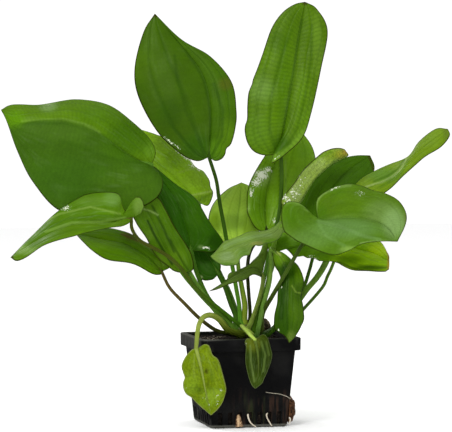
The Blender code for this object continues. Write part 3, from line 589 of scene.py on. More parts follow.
leaves["front_right"] = {
    "foot": (318, 24), "thick": (2.2, 1.6), "arch": 0.1,
    "midrib": [(70, -44, 188.5), (90, -44, 191), (112, -46, 189.5), (130.5, -51, 182.5),
        (140.5, -58, 169.5)],
    "left": [(67.5, -32, 200.5), (74.5, -20, 210), (91, -10, 219), (111, -12, 217), (132.5, -20, 212),
        (147, -34, 200), (149, -48, 184)],
    "right": [(61, -42, 196.5), (52, -44, 204), (40, -50, 197), (38, -58, 181), (51.5, -66, 170),
        (73, -72, 162), (96, -74, 165), (120, -68, 170)],
    "stalkSeen": [(262.8, 314, -12), (271.4, 298, -28), (279.6, 284, -43), (289, 267.4, -46),
        (300.4, 247.7, -44), (312, 228.9, -44)],
    "midribSeen": [(318.4, 223.6, -44), (340, 219, -44), (364.7, 219.4, -46), (385.6, 227, -51),
        (397.3, 241.9, -58)],
    "leftSeen": [(318.8, 219), (317.2, 213), (316, 206.6), (317, 199), (321, 194.8), (328, 190.2),
        (336, 186.2), (349.6, 183.4), (362.4, 185.6), (373, 190.4), (385, 193.6), (396.8, 199.8),
        (403.8, 207.8), (406.8, 217), (404.4, 227.5)],
    "rightSeen": [(316.6, 220.2), (312.2, 215.2), (308, 210.6), (302.6, 205), (296, 201.6), (288, 201.2),
        (282.4, 204.6), (280.6, 213), (281.2, 222), (283.4, 231), (289.6, 236.6), (296, 241.4), (305, 246),
        (320, 252.8), (334, 255.6), (347, 251.2), (360, 244.8), (374, 242.6), (386, 242)],
    "paint": ((92, 132, 24), (92, 134, 32)), "veinPaint": (74, 112, 20), "lines": (0.36, 0.16, 34, 0.1),
    "gloss": 0.4, "waves": (0.8, 2, 0.3), "stem": ((70, 86, 34), (64, 88, 30)),
    "rim": (66, 88, 26), "sheen": 0.1, "fan": 0.55, "mottle": 0.1, "streak": 0.05, "flatBase": 0.25,
    # the pale marks and the pale strokes are painted sheen, some along the veins, and painted highlights
    # along the margins; the glint and the colourless stroke are painted highlights too
    "marks": [(298, 218, 13, 12, (76, 116, 22), 0.6), (330, 203, 14, 8, (82, 120, 22), 0.4),
        (334, 190, 10, 5, (88, 134, 24), 0.6), (405.4, 219, 2, 5, (96, 100, 34), 0.7),
        (345, 228, 30, 9, (112, 154, 84), 0.6), (312, 238, 20, 8, (108, 150, 72), 0.5),
        (382, 212, 16, 10, (120, 154, 76), 0.7), (394, 224, 11, 13, (140, 176, 104), 0.8),
        (350, 250, 9, 3, (150, 190, 84), 0.6), (290, 216, 7, 10, (82, 130, 14), 0.5),
        (322, 213, 5, 7, (74, 122, 10), 0.6)],
    "glints": [(360, 193, 7, 4, 0.42)],
    "strokes": [
        ([(316.4, 210), (316.2, 204), (318.4, 198.6), (326, 191.6)], 1, (150, 184, 96), 0.5),
        ([(330, 190), (334, 188.4), (338, 186.8)], 0.9, None, 0.9),
        ([(326, 192), (336, 187.4), (350, 185)], 1.4, (132, 166, 84), 0.5),
        ([(285, 203.4), (291, 202.4), (300, 204.4), (308, 211.4)], 1, (134, 172, 80), 0.4),
        ([(318, 220), (333, 214), (350, 212), (372, 214)], 1.6, (74, 116, 16), 0.35),
        ([(318, 221), (340, 226), (362, 236), (380, 240)], 1.6, (124, 164, 92), 0.45),
        ([(317, 222), (326, 236), (344, 246)], 1.6, (122, 164, 88), 0.35),
        ([(316, 222), (302, 224), (292, 220)], 1.6, (76, 122, 18), 0.3),
        ([(360, 243.6), (372, 241.8), (386, 241.2)], 0.9, (150, 184, 100), 0.6),
    ],
}

leaves["under_right"] = {
    "foot": (350, 3), "thick": (2, 3), "arch": 0.1,
    "midrib": [(82, -12, 158), (100, -15, 160), (119.7, -21, 157.5), (135, -30, 150)],
    "left": [(87, 0, 168), (105.5, 6, 174), (126, -2, 168), (134.5, -20, 157)],
    "stalkSeen": [(276.6, 326.4, 0), (289, 315, -2), (305.6, 291, -5), (316.6, 277.6, -8),
        (324, 265.6, -9.6)],
    "rightSeen": [(318, 240, -5), (300, 236, -6), (282, 234.6, -6), (268, 236, -6), (265.4, 242, -6),
        (267.6, 249, -7), (273, 252.6, -7), (278, 251.4, -7.6), (278.8, 247, -8), (280, 245.2, -8),
        (284.4, 247, -9), (288.2, 250.2, -10), (291.4, 254, -10.6), (294, 257.4, -11), (304.6, 256.6, -13),
        (308, 259.4, -15), (314, 258.6, -18), (318, 261.8, -20), (331, 261.6, -25), (338, 263, -28),
        (345, 267, -31), (354, 270.6, -35), (368, 271.6, -39), (378, 272.4, -40), (388.1, 271.2, -37)],
    "paint": ((152, 206, 24), (170, 222, 28)), "veinPaint": (104, 150, 10), "lines": (0.36, 0.15, 24, 0.08),
    "gloss": 0.4, "waves": (0.9, 3, 0.2), "stem": ((52, 88, 20), (88, 124, 36)),
    "marks": [(379, 250, 10, 7, (198, 238, 30), 0.9), (368, 260, 14, 5, (158, 208, 30), 0.7),
        (370, 268, 18, 2.6, (58, 98, 4), 0.9), (348, 260, 13, 5, (88, 132, 20), 0.9),
        (300, 248, 24, 14, (84, 130, 20), 1), (276, 240, 18, 12, (84, 134, 22), 1),
        (322, 256, 12, 9, (96, 146, 24), 0.95)],
    "glints": [(312, 258, 8, 3, 0.6)],
    "strokes": [
        ([(387, 247), (389, 256), (388.8, 268)], 1.8, (196, 164, 60), 0.9),
        ([(338, 262), (352, 268.4), (366, 271.4), (386, 272)], 1, (48, 74, 6), 0.8),
    ],
}

leaves["pale_front"] = {
    "foot": (288, 24), "thick": (2.5, 2.1), "arch": 0.08,
    "midrib": [(31.5, -20, 175.5), (19.5, -38, 172), (4.3, -58, 168.5), (-12.5, -78, 163.5),
        (-26.5, -95, 158.5)],
    "stalkSeen": [(256.4, 318, -8), (263.2, 300, -10), (268.2, 282, -11), (271, 262, -12), (273, 250, -14),
        (275.4, 238, -14)],
    "midribSeen": [(282.4, 225, -20), (277, 230.4, -24), (270, 234.6, -30), (261.6, 237.4, -39),
        (244.8, 243.1, -58), (225.9, 249.9, -78), (209.9, 256.7, -95)],
    "leftSeen": [(283.6, 229, -22), (281.4, 235.4, -26), (276, 241.4, -30), (269.6, 243.4, -35),
        (264.6, 244, -39), (262, 245.6, -42), (258.6, 245.8, -48), (255, 245.2, -53), (251.8, 248, -58),
        (250.2, 252, -62), (248.6, 256, -69), (243, 256.6, -76), (239.8, 259.4, -80), (237.4, 264.4, -85),
        (231, 266.4, -90), (222.4, 266.4, -94), (214.6, 261.6, -97)],
    "rightSeen": [(280.4, 220.8, -20), (275.2, 225.8, -22), (268, 229.8, -26), (260, 231, -32),
        (252, 231.2, -38), (247, 232.8, -43), (240, 236, -50), (232, 238.4, -58), (225, 240.6, -66),
        (221.6, 243.6, -72), (216.6, 250, -82)],
    "paint": ((122, 154, 66), (124, 158, 66)), "veinPaint": (92, 130, 44), "lines": (0.34, 0.25, 24, 0.1),
    "gloss": 0.34, "waves": (0.8, 3, 0.6), "stem": ((76, 116, 24), (104, 146, 40)),
    "rim": (104, 134, 60), "streak": 0.3,
    # the pale blotch near the tip and the glint on it are painted sheen
    "marks": [(257, 243.8, 6, 1.8, (162, 166, 84), 0.8), (226, 257, 7, 4, (142, 170, 108), 0.7),
        (224, 265.6, 10, 2.4, (66, 116, 22), 0.7), (270, 231.6, 12, 4.4, (140, 168, 92), 0.4),
        (273, 241.6, 9, 2.6, (102, 150, 26), 0.9), (243, 254, 5, 5, (88, 134, 40), 0.6)],
    "glints": [(228, 256, 5, 3, 0.16)],
    "strokes": [
        ([(270, 235), (254, 236.6), (238, 240), (224, 247)], 1.6, (142, 174, 106), 0.5),
    ],
}

leaves["narrow_front"] = {
    "foot": (266, 26), "thick": (2.2, 1.7), "arch": 0.06,
    "midrib": [(20, -18, 149), (9, -30, 145), (-3.7, -44, 139), (-16, -56, 131), (-28.7, -66, 125.3)],
    "stalkSeen": [(252.6, 318, -14), (258.4, 301, -14), (262.4, 284, -13.5)],
    "midribSeen": [(262.4, 274.6, -16), (257.4, 269.4, -22), (250, 268.2, -30), (236, 275.6, -44),
        (222.6, 284, -56), (208.4, 292, -66)],
    "leftSeen": [(261.2, 277.2, -20), (257.6, 276, -27), (253.4, 275, -34), (249.6, 276.6, -40),
        (246, 279.2, -45), (240, 281.6, -51), (232, 284.4, -56), (222, 287.6, -62), (214.4, 290.4, -65)],
    "rightSeen": [(263.4, 269.4, -15), (264.6, 262.6, -15), (266.6, 257, -15), (268, 250, -15),
        (267, 242.4, -15), (263.4, 243, -15.4), (261.6, 249.4, -16), (258.2, 255.4, -18),
        (253.6, 259.8, -21), (248.4, 265, -27), (240, 269.8, -33), (234.4, 272.2, -38),
        (230.6, 272.4, -41), (227.6, 275, -43), (226.6, 279, -45), (221, 284, -52), (214, 288.6, -60)],
    "paint": ((96, 126, 46), (94, 126, 40)), "veinPaint": (60, 92, 20), "lines": (0.4, 0.3, 20, 0.06),
    "gloss": 0.42, "waves": (0.6, 2, 0.1), "stem": ((136, 160, 66), (132, 156, 66)),
    "fan": 0.7,
    "marks": [(212, 290, 6, 3, (112, 140, 60), 0.7)],
    "strokes": [
        ([(262, 254), (250, 263), (238, 272), (224, 281), (210, 291)], 1.1, (52, 70, 10), 0.6),
    ],
}

leaves["hanging_right"] = {
    "foot": (296, 10), "thick": (2.3, 1.9), "arch": 0.1,
    "midrib": [(28, -24, 161.3), (37, -32, 153.5), (43, -42, 139), (42, -50, 117), (42, -55, 96),
        (43.5, -57, 78.3)],
    "left": [(38.8, -24, 158.5), (47.8, -30, 150.7), (55.8, -34, 138), (58, -38, 123), (57.5, -44, 100),
        (50, -52, 83)],
    "right": [(31.5, -30, 149), (37, -38, 138), (34, -44, 121), (30.5, -50, 99), (35, -54, 88)],
    "stalkSeen": [(262.8, 307.1, -17), (269.6, 280.9, -19), (270.6, 258.8, -17.5)],
    "leftSeen": [(283, 252.5), (291.5, 259.4), (298.6, 267), (303.8, 281), (302.8, 289), (301.6, 296),
        (303, 305), (303.6, 312.6), (303.8, 320), (301, 327), (298.6, 332), (294.4, 338.6)],
    "rightSeen": [(274.4, 266), (278.2, 273), (280.4, 281), (278, 290), (276.8, 303), (274.2, 313),
        (273.6, 320), (274, 328), (278.4, 333), (283.4, 335.6), (286.8, 340)],
    "paint": ((70, 108, 4), (54, 92, 6)), "veinPaint": (36, 72, 0), "lines": (0.34, 0.2, 30, 0.12),
    "gloss": 0.36, "waves": (1.2, 2.5, 0.4), "stem": ((104, 148, 60), (120, 162, 60)),
    "streak": 0.1,
    # the near-white spot where the stalk meets the blade, the pale stroke from it, and the glints are painted
    # highlights
    "marks": [(291, 338, 4, 6, (108, 136, 52), 0.8), (280, 258, 7, 7, (112, 158, 26), 0.9),
        (271, 249, 2.4, 2, (214, 214, 140), 0.8), (290, 272, 7, 8, (44, 80, 4), 0.7),
        (299, 276, 4, 8, (92, 134, 14), 0.7), (284, 324, 8, 8, (54, 92, 4), 0.5),
        (296, 312, 6, 10, (80, 118, 8), 0.5)],
    "glints": [(281.5, 287, 1.2, 1.2, 0.9), (278.5, 330.5, 1.3, 1.3, 0.9)],
    "strokes": [
        ([(284.6, 264), (283, 282), (282, 300), (281, 318)], 2.4, (34, 66, 0), 0.6),
        ([(291.6, 286), (295.4, 292), (301, 293.6)], 0.9, (134, 168, 60), 0.75),
        ([(287, 270), (287.6, 296), (287.4, 330)], 0.9, (40, 74, 0), 0.5),
        ([(271, 248.6), (274.6, 252), (280, 254.6)], 1.2, (196, 212, 110), 0.7),
    ],
}

leaves["rim_left"] = {
    "foot": (238, 12), "thick": (3.4, 1.8), "arch": 0.08,
    "midrib": [(-40, -60, 74.5), (-37.6, -62, 63.5), (-34, -63, 48.4), (-30.5, -62, 30.3), (-26, -60, 13.3)],
    "left": [(-29.7, -58, 76), (-22.5, -57, 64), (-13.6, -56, 43.2), (-13.6, -56, 31.6), (-20, -58, 20.2)],
    "right": [(-46.6, -58, 68.4), (-52.5, -57, 55), (-50.3, -57, 36.2), (-37.7, -59, 24)],
    "stalkSeen": [(228, 330, -24), (219, 319.4, -34), (211, 315.6, -42), (204.6, 316.8, -48),
        (200.4, 321.6, -52), (197.6, 330, -56)],
    "midribSeen": [(195.8, 348.8), (198.8, 361), (201.6, 373), (204.6, 389), (207.6, 403), (210.7, 416.4)],
    "leftSeen": [(199.4, 347.6), (203.4, 344.8), (208, 345.4), (210.4, 349.6), (212.6, 355.6),
        (217.6, 359.6), (220.6, 367.4), (223.2, 377.2), (226, 388.6), (225.2, 395), (222.4, 403.2),
        (216.8, 410.6)],
    "rightSeen": [(191.2, 350.4), (186.4, 355.4), (182.8, 361.2), (181, 367.2), (182.6, 373.6),
        (184.2, 378.4), (182.6, 383), (182.8, 389), (185.6, 395), (191, 398.6), (196.4, 404.2),
        (205.2, 411.8)],
    "paint": ((119, 144, 12), (116, 141, 11)), "veinPaint": (126, 154, 40), "lines": (0.42, 0.12, 14, 0.05),
    "gloss": 0.3, "waves": (1, 3, 0.5), "stem": ((92, 110, 28), (136, 152, 64)),
    "rim": (158, 170, 92), "mottle": 0.36, "streak": 0.12, "ribSide": -1, "ribPaint": (164, 184, 84),
    "marks": [(206, 372, 1.8, 2.2, (64, 62, 16), 0.85), (195, 388, 5, 4, (92, 122, 20), 0.6),
        (208, 396, 4, 3, (92, 122, 20), 0.6), (212, 377, 2, 6, (98, 128, 24), 0.6),
        (207.6, 386, 1.4, 6, (78, 96, 10), 0.6), (192, 381, 7, 7, (134, 166, 40), 0.6),
        (196, 391, 8, 3, (84, 112, 6), 0.7), (213, 390, 6, 3, (92, 120, 8), 0.6),
        (206, 404, 9, 4, (124, 158, 22), 0.6), (213, 396, 10, 6, (150, 184, 50), 0.6),
        (190, 390, 6, 5, (140, 172, 44), 0.5)],
    "glints": [(204, 398, 4, 3, 0.34), (216.4, 397, 3, 1.6, 0.6), (217.4, 404, 1.6, 3, 0.7),
        (209, 406, 1.6, 3, 0.5), (186, 389, 3, 2, 0.4), (221, 391, 2, 2.6, 0.5)],
    "strokes": [
        ([(194, 354), (193, 366), (194, 378)], 1, (142, 166, 58), 0.6),
        ([(205, 352), (211, 368), (216, 384), (217, 394)], 1, (136, 162, 48), 0.35),
    ],
}

leaves["rim_front"] = {
    "foot": (280, 12), "thick": (1.9, 1.7), "arch": 0.12,
    "midrib": [(15, -53, 80.5), (16, -57, 68.4), (16, -58, 53.2), (13.3, -56, 37.3)],
    "left": [(25, -50, 82), (28.5, -52, 72.5), (28.5, -54, 60), (21.3, -56, 45)],
    "right": [(6, -54, 80.6), (4.8, -55, 67.3), (7.4, -56, 50.3)],
    "stalkSeen": [(241.8, 326.4, -22), (246.2, 331.4, -36), (250.6, 336.2, -46)],
    "midribSeen": [(254.6, 340.6, -53), (257.4, 355, -57), (257.9, 372.1, -58), (254.9, 389.6, -56)],
    "leftSeen": [(262.4, 334.6), (267.4, 338), (270, 346), (272.2, 356.4), (268.6, 369), (264.8, 377.6),
        (261.6, 384.4)],
    "rightSeen": [(247.4, 338.4), (244.2, 342.4), (245.4, 348), (244.8, 362), (247.6, 376), (251.1, 385.4)],
    "paint": ((50, 68, 4), (52, 70, 4)), "veinPaint": (104, 128, 52), "lines": (0.34, 0.25, 12, 0.02),
    "gloss": 0.4, "waves": (0.3, 2, 0), "stem": ((168, 196, 84), (176, 204, 88)),
    "rim": (112, 130, 72), "streak": 0.1, "stemShade": 1.1, "ribSide": -1, "ribPaint": (100, 122, 48),
    "marks": [(252, 344, 8, 7, (104, 118, 30), 0.8), (264, 340, 5, 6, (66, 84, 14), 0.7),
        (263, 356, 3, 12, (40, 64, 6), 0.7), (252, 366, 3, 10, (44, 68, 8), 0.6),
        (257, 382, 5, 8, (72, 98, 24), 0.6)],
    "glints": [(245, 345, 1.6, 2, 0.8)],
    "strokes": [
        ([(250, 346), (250.6, 362), (254, 382)], 1, (116, 140, 70), 0.6),
        ([(261, 342), (265, 356), (263, 372)], 1, (112, 138, 66), 0.55),
        ([(266, 342), (269, 356)], 0.9, (108, 134, 60), 0.45),
    ],
}

leaves["low_left"] = {
    "foot": (150, 5), "thick": (2, 1.4), "arch": 0.1,
    "stalk": [(-12, 6, 82), (-23.1, 4, 85.5), (-37.8, 4, 96.5), (-50.6, 4, 109.3), (-64.4, 3, 124)],
    "midrib": [(-71.7, 3, 138.7), (-84.6, 4, 152.3), (-105.8, 6, 164.2), (-128.8, 8, 168.7),
        (-151, 10, 173.2)],
    "left": [(-75.2, -2, 135.2), (-84, -8, 136.6), (-105, -14, 146.2), (-127.6, -14, 153),
        (-141.7, -8, 163.2)],
    "right": [(-69, 8, 144), (-83, 14, 156.4), (-96, 18, 167.2), (-113, 22, 175.3), (-134.3, 24, 178)],
    "leftSeen": [(160.8, 274.6), (155, 274.8), (149, 272.6), (138, 266.6), (127.5, 263), (107, 259.4),
        (92, 251), (83, 242.4)],
    "rightSeen": [(170, 267.5), (172, 261), (163, 253), (152, 246.4), (142, 239.4), (131.6, 234),
        (122, 230.8), (107, 228), (90, 230)],
    "paint": ((102, 152, 10), (99, 149, 8)), "veinPaint": (66, 112, 2), "lines": (0.36, 0.14, 24, 0.05),
    "gloss": 0.42, "waves": (0.5, 2, 0.7), "stem": ((44, 54, 22), (96, 84, 44)),
    "marks": [(130, 232, 5, 7, (110, 92, 40), 0.6), (100, 240, 18, 8, (122, 170, 30), 0.6),
        (160, 264, 7, 6, (112, 152, 34), 0.5)],
    "strokes": [
        ([(136, 240.4), (148, 247), (158, 256), (165, 266)], 1.3, (128, 168, 60), 0.6),
        ([(122, 233.6), (130, 237), (138, 240.6)], 1.2, (112, 74, 36), 0.6),
    ],
}

leaves["left_front"] = {
    "foot": (238, 40), "thick": (2, 1.5), "arch": 0.1,
    "midrib": [(-98, -50, 190.5), (-112, -58, 183.7), (-130, -67, 186), (-151, -77, 184.6),
        (-174, -86, 175.3), (-202.7, -93, 157.2)],
    "stalkSeen": [(200, 293, -12), (182, 270, -15), (167, 256, -18), (151, 247, -24), (140, 241, -32),
        (134, 234, -40), (131.2, 227, -46)],
    "midribSeen": [(131.4, 218.6, -50), (124, 219.4, -54), (114.6, 222.6, -58), (93.9, 222.9, -67),
        (69.6, 226, -77), (42.9, 237.1, -86), (9.7, 258.1, -93)],
    "leftSeen": [(133.6, 220.8, -51), (129, 223.4, -54), (122, 226.6, -61), (112, 228, -69),
        (100.7, 229.8, -77), (86, 233, -88), (75.7, 236, -96), (44.7, 245.9, -102), (18.8, 260.9, -98)],
    "rightSeen": [(137, 216.2, -45), (142.6, 211.4, -43), (144, 205.4, -43), (142, 199.4, -44),
        (138.2, 196.2, -46), (133.4, 199, -48), (129.4, 205, -51), (126.6, 211.4, -53), (124, 208.6, -54),
        (121.8, 203, -52), (120.6, 197, -51), (116.8, 193, -49), (108, 192, -48), (98, 192.4, -49),
        (88, 194, -50), (78, 198.4, -52), (51.5, 216.2, -64), (19.6, 248.2, -86)],
    "paint": ((92, 134, 18), (86, 130, 8)), "veinPaint": (118, 152, 50), "lines": (0.36, 0.1, 26, 0.05),
    "gloss": 0.46, "waves": (0.5, 2, 0.2), "stem": ((56, 96, 16), (74, 82, 28)),
    "sheen": 0.1, "fan": 0.6, "streak": 0.12, "stemShade": 1.2,
    "marks": [(139, 206, 5, 9, (128, 166, 70), 0.75), (24, 250, 12, 4, (140, 174, 90), 0.6),
        (112, 199, 8, 6, (118, 160, 76), 0.6), (11, 258, 2, 2, (70, 70, 30), 0.8),
        (98, 214, 26, 3, (96, 146, 20), 0.5), (92, 201, 16, 4, (108, 150, 52), 0.5)],
    "glints": [(65, 208, 6, 3, 0.8)],
    "strokes": [
        ([(32, 232), (44, 222), (59, 214), (90, 207), (120, 214)], 1, (140, 174, 76), 0.55),
        ([(45, 232), (72, 223), (100, 222), (125, 218)], 1.3, (132, 170, 72), 0.6),
        ([(40, 232), (66, 219), (96, 216), (120, 216)], 1.1, (64, 108, 4), 0.4),
        ([(30, 247), (50, 237), (72, 230), (104, 227)], 1.2, (66, 106, 8), 0.4),
    ],
}

leaves["big_left"] = {
    "foot": (192, 26), "thick": (2.3, 2.2), "arch": 0.1,
    "midrib": [(-80.5, -6, 237), (-100.5, -11, 248), (-129, -18, 268), (-165, -24, 278.6),
        (-193, -28, 277.4), (-205.5, -30, 273.8), (-216, -30, 287.3)],
    "right": [(-77, 2, 248.7), (-83, 10, 261.5), (-99, 20, 276), (-122.5, 28, 292), (-153, 28, 297.4),
        (-184.5, 14, 292), (-207.5, -10, 291.8)],
    "stalkSeen": [(217.6, 313.4, -2.5), (201.4, 292, -3), (184.4, 264, -4), (168.4, 236, -2),
        (157.6, 208, 2), (153.4, 186, 3)],
    "midribSeen": [(151.9, 165), (136.5, 159.5), (120, 148.5), (102, 134.5), (84.2, 125.2), (64, 120.2),
        (38.3, 120.4), (20.4, 123), (9.5, 120.5), (1.1, 110)],
    "leftSeen": [(161.6, 177, -12), (162.4, 188, -18), (156.4, 198.4, -23), (143, 207, -27),
        (130, 212, -30), (112, 213.6, -31), (95, 212.7, -32), (59.4, 211.1, -34), (32.8, 181.8, -34),
        (17.5, 151.8, -32), (6.5, 121.9, -31)],
    # its right half, the upper one, is painted lighter than the lower half, as lit from above
    "paint": ((68, 107, 26), (96, 138, 14)), "veinPaint": (50, 88, 10), "lines": (0.36, 0.12, 46, 0.12),
    "gloss": 0.42, "waves": (0.8, 2, 0.3), "stem": ((100, 140, 52), (84, 126, 40)),
    "sheen": 0.1, "mottle": 0.1, "streak": 0.05,
    # the small pale mark and the glint near the tip are painted sheen, and the light patch at the tip is
    # painted light where the blade turns up
    "marks": [(50, 106, 8, 5, (142, 176, 104), 0.6), (13, 119, 11, 8, (100, 152, 14), 0.9),
        (150, 147, 6, 9, (112, 158, 44), 0.7), (128, 138, 24, 20, (72, 116, 16), 0.9),
        (100, 116, 22, 10, (84, 130, 14), 0.6), (70, 180, 36, 22, (66, 112, 30), 0.5),
        (126, 190, 30, 18, (82, 124, 30), 0.6), (62, 132, 30, 8, (86, 124, 40), 0.4)],
    "glints": [(50, 104, 6, 4, 0.3)],
    "strokes": [
        # a painted highlight along the fold, then painted shade just under it
        ([(22, 121.6), (40, 119.4), (64, 119), (84, 124), (100, 132.4)], 1.1, (128, 168, 66), 0.4),
        ([(14, 126), (26, 124.6), (44, 123.4), (66, 123.4), (84, 129)], 1.4, (50, 88, 8), 0.25),
        ([(140, 163), (118, 160), (90, 150), (60, 140)], 1.4, (50, 88, 8), 0.3),
    ],
}

leaves["middle_left"] = {
    "foot": (118, 26), "thick": (2.9, 2), "arch": 0.12,
    "midrib": [(-38.4, 42, 200.5), (-56, 48, 219), (-80, 56, 240), (-99, 62, 258), (-115, 66, 275.7)],
    "left": [(-46.6, 34, 194), (-65, 36, 208), (-84, 44, 229), (-100.4, 56, 249.6)],
    "right": [(-30, 48, 199), (-24, 55, 210), (-29.3, 62, 226), (-47.3, 68, 240), (-68, 72, 259.6),
        (-91.6, 70, 269)],
    "stalkSeen": [(233.4, 304.5, 16), (228.4, 291, 18), (221.4, 277, 24), (214.6, 262, 30),
        (206.4, 240, 36), (201.6, 220, 40)],
    "rightSeen": [(207.9, 205.4), (212, 199.6), (213.4, 192.4), (210.6, 187.6), (209.4, 180),
        (204.4, 170.2), (199, 167.6), (193.8, 164), (186, 155), (178.6, 148.6), (166.4, 137.4),
        (158.1, 135.6), (142.8, 129)],
    "paint": ((138, 186, 32), (144, 192, 34)), "veinPaint": (104, 148, 14), "lines": (0.36, 0.12, 24, 0.1),
    "gloss": 0.38, "waves": (1.6, 4, 0.1), "stem": ((84, 120, 40), (90, 130, 44)),
    "mottle": 0.2, "streak": 0.2,
    "marks": [(160, 145, 8, 8, (128, 168, 56), 0.5), (201, 199, 10, 4, (98, 140, 26), 0.6),
        (172, 160, 10, 10, (104, 148, 30), 0.5), (194, 180, 10, 8, (144, 186, 56), 0.5)],
    # the glints and the colourless stroke are painted highlights along the upper right margin
    "glints": [(194, 165, 6, 3, 0.9), (201, 168, 4, 3, 0.9)],
    "strokes": [
        ([(177, 149.6), (186, 157), (196, 163), (203, 169)], 1.8, None, 1),
        ([(180, 172), (194, 168), (203, 172)], 1.2, (158, 192, 80), 0.5),
        ([(190, 195.6), (202, 193), (213, 190.6)], 1, (170, 200, 96), 0.7),
        ([(196, 203), (204, 197), (211, 194)], 1.2, (92, 134, 20), 0.6),
    ],
}

leaves["dark_left"] = {
    "foot": (166, 30), "thick": (2, 2.1), "arch": 0.08,
    "stalk": [(-14, 4.5, 99), (-28.6, 5, 114), (-39.6, 6, 137.6)],
    "midrib": [(-45, 8, 157.6), (-49.8, 12, 178.5), (-59.2, 16, 204), (-85, 14, 240)],
    "left": [(-51.5, 3, 160.7), (-62.5, 3, 175.4), (-73.6, 7, 197.3), (-81, 11, 218)],
    "rightSeen": [(203.6, 251.6, 10), (211, 252.4, 12), (219.4, 249, 14), (223.4, 242.6, 15),
        (219, 234.6, 16), (213.4, 227.4, 18), (208.6, 219.6, 20), (195.7, 198, 24), (175.8, 183.9, 22),
        (159.8, 170.8, 18)],
    "paint": ((50, 98, 0), (56, 104, 0)), "veinPaint": (38, 80, 0), "lines": (0.36, 0.15, 26, 0.06),
    "gloss": 0.36, "waves": (0.6, 2, 0.4), "stem": ((84, 126, 42), (70, 112, 30)),
    "sheen": 0.1,
    # the pale spot beside the arc and the colourless arc are a painted highlight on the fold
    "marks": [(216, 241, 7, 8, (40, 78, 0), 0.8), (201, 247, 3, 2, (140, 170, 100), 0.5),
        (198, 212, 8, 14, (66, 114, 14), 0.6)],
    "glints": [(210.5, 229.5, 1.1, 1.1, 0.8)],
    "strokes": [
        ([(203.4, 248.4), (206, 247), (208.2, 248.2), (209, 250)], 1.2, None, 1.3),
    ],
}

leaves["narrow_left"] = {
    "foot": (215, 24), "thick": (2, 2), "arch": 0.04,
    "stalk": [(-13, -7, 97), (-28.5, -8, 110.5), (-45.8, -8, 130)],
    "midrib": [(-59.6, -8, 146.6), (-69.5, -11, 164), (-80.3, -15, 187), (-93.7, -20, 212)],
    "midribSeen": [(183, 273.6, -8), (175, 262.6, -8), (163.7, 245.2, -11), (151.7, 220.1, -15),
        (136.8, 192.9, -20)],
    "leftSeen": [(174, 271.4, -9), (167, 266, -10), (159, 260, -12), (151.6, 250, -14),
        (147.4, 240.6, -16), (144.6, 236, -17.4), (141, 231, -18.6), (137.6, 226, -19.4),
        (135.2, 221.6, -20), (131, 211, -21)],
    "rightSeen": [(193, 270, -8), (192.6, 258, -8.4), (187, 245.6, -9), (174.4, 226, -12),
        (165.4, 209, -14), (157, 197, -17)],
    "paint": ((84, 128, 4), (80, 122, 4)), "veinPaint": (50, 88, 0), "lines": (0.42, 0.25, 18, 0.04),
    "gloss": 0.4, "waves": (0.4, 1.5, 0), "stem": ((84, 124, 40), (84, 124, 36)),
    "marks": [(150, 235, 5, 5, (106, 148, 40), 0.5), (176, 260, 10, 12, (106, 150, 24), 0.7),
        (160, 262, 7, 7, (106, 146, 32), 0.6)],
    "strokes": [
        ([(147.7, 221), (155, 236), (163, 250), (172, 264)], 1.2, (34, 62, 0), 0.8),
        ([(152, 206), (163, 228), (174, 252)], 1.1, (40, 70, 0), 0.7),
        ([(143.6, 209.2), (150, 211), (158, 215)], 0.9, (146, 178, 92), 0.8),
        ([(170, 240), (180, 258), (188, 270)], 1.1, (44, 76, 0), 0.6),
    ],
}

leaves["back_dark"] = {
    "foot": (142, 28), "thick": (3, 2.2), "arch": 0.1,
    "midrib": [(-19.5, 16, 136), (-30, 24, 153), (-42, 33, 177), (-51.6, 42, 198)],
    "left": [(-26, 15, 130.4), (-37, 17, 132), (-45.6, 24, 150), (-52.4, 33, 173.4)],
    "right": [(-17.5, 18, 143), (-21.5, 26, 157.3), (-31, 34, 177), (-42, 40, 193.6)],
    "stalkSeen": [(236.4, 317, 10.5), (231, 303, 12.5), (225, 286, 14.5)],
    "paint": ((48, 96, 0), (50, 98, 0)), "veinPaint": (34, 76, 0), "lines": (0.36, 0.15, 20, 0.04),
    "gloss": 0.45, "waves": (0.4, 2, 0.2), "stem": ((70, 110, 34), (56, 96, 20)),
    "marks": [(201, 277, 2, 1.4, (178, 196, 130), 0.7)],
}


# From the photo's pixels to places in the plant's frame

photo = {
    "across": 240, "down": 205.2, "up": 200,  # the pixel of the point 200 up the plant's axis
    "pixel": 0.9156, "away": 2400, "tilt": 0.04,  # a pixel's size there, the camera's distance, its look down
    "blur": 0.5,  # pixels within which a spot takes the depth of a row
}


def pixelSize(depth):
    return photo["pixel"] * (1 + depth / photo["away"])


def seenAt(point):
    # the pixel that shows a point of the plant's frame
    x, depth, z = point
    size = pixelSize(depth)
    return photo["across"] + x / size, photo["down"] - (z - photo["up"] + photo["tilt"] * depth) / size


def placeAt(across, down, depth):
    size = pixelSize(depth)
    up = photo["up"] + (photo["down"] - down) * size - photo["tilt"] * depth
    return round(size * (across - photo["across"]), 1), round(depth, 1), round(up, 1)


def nearest(across, down, row):
    # how far from a row of points a pixel lies in the photo, and how deep the row is there
    best = None
    for start, end in zip(row, row[1:]):
        (ax, ay), (bx, by) = seenAt(start), seenAt(end)
        dx, dy = bx - ax, by - ay
        share = ((across - ax) * dx + (down - ay) * dy) / max(dx * dx + dy * dy, 1e-9)
        share = min(1, max(0, share))
        off = ((across - ax - share * dx) ** 2 + (down - ay - share * dy) ** 2) ** 0.5
        if best is None or off < best[0]:
            best = (off, start[1] + (end[1] - start[1]) * share)
    return best


def placeRow(spots, plain):
    row = []
    for across, down, *own in spots:
        depth = own[0] if own else nearest(across, down, plain)[1]
        row.append(placeAt(across, down, depth))
    return row


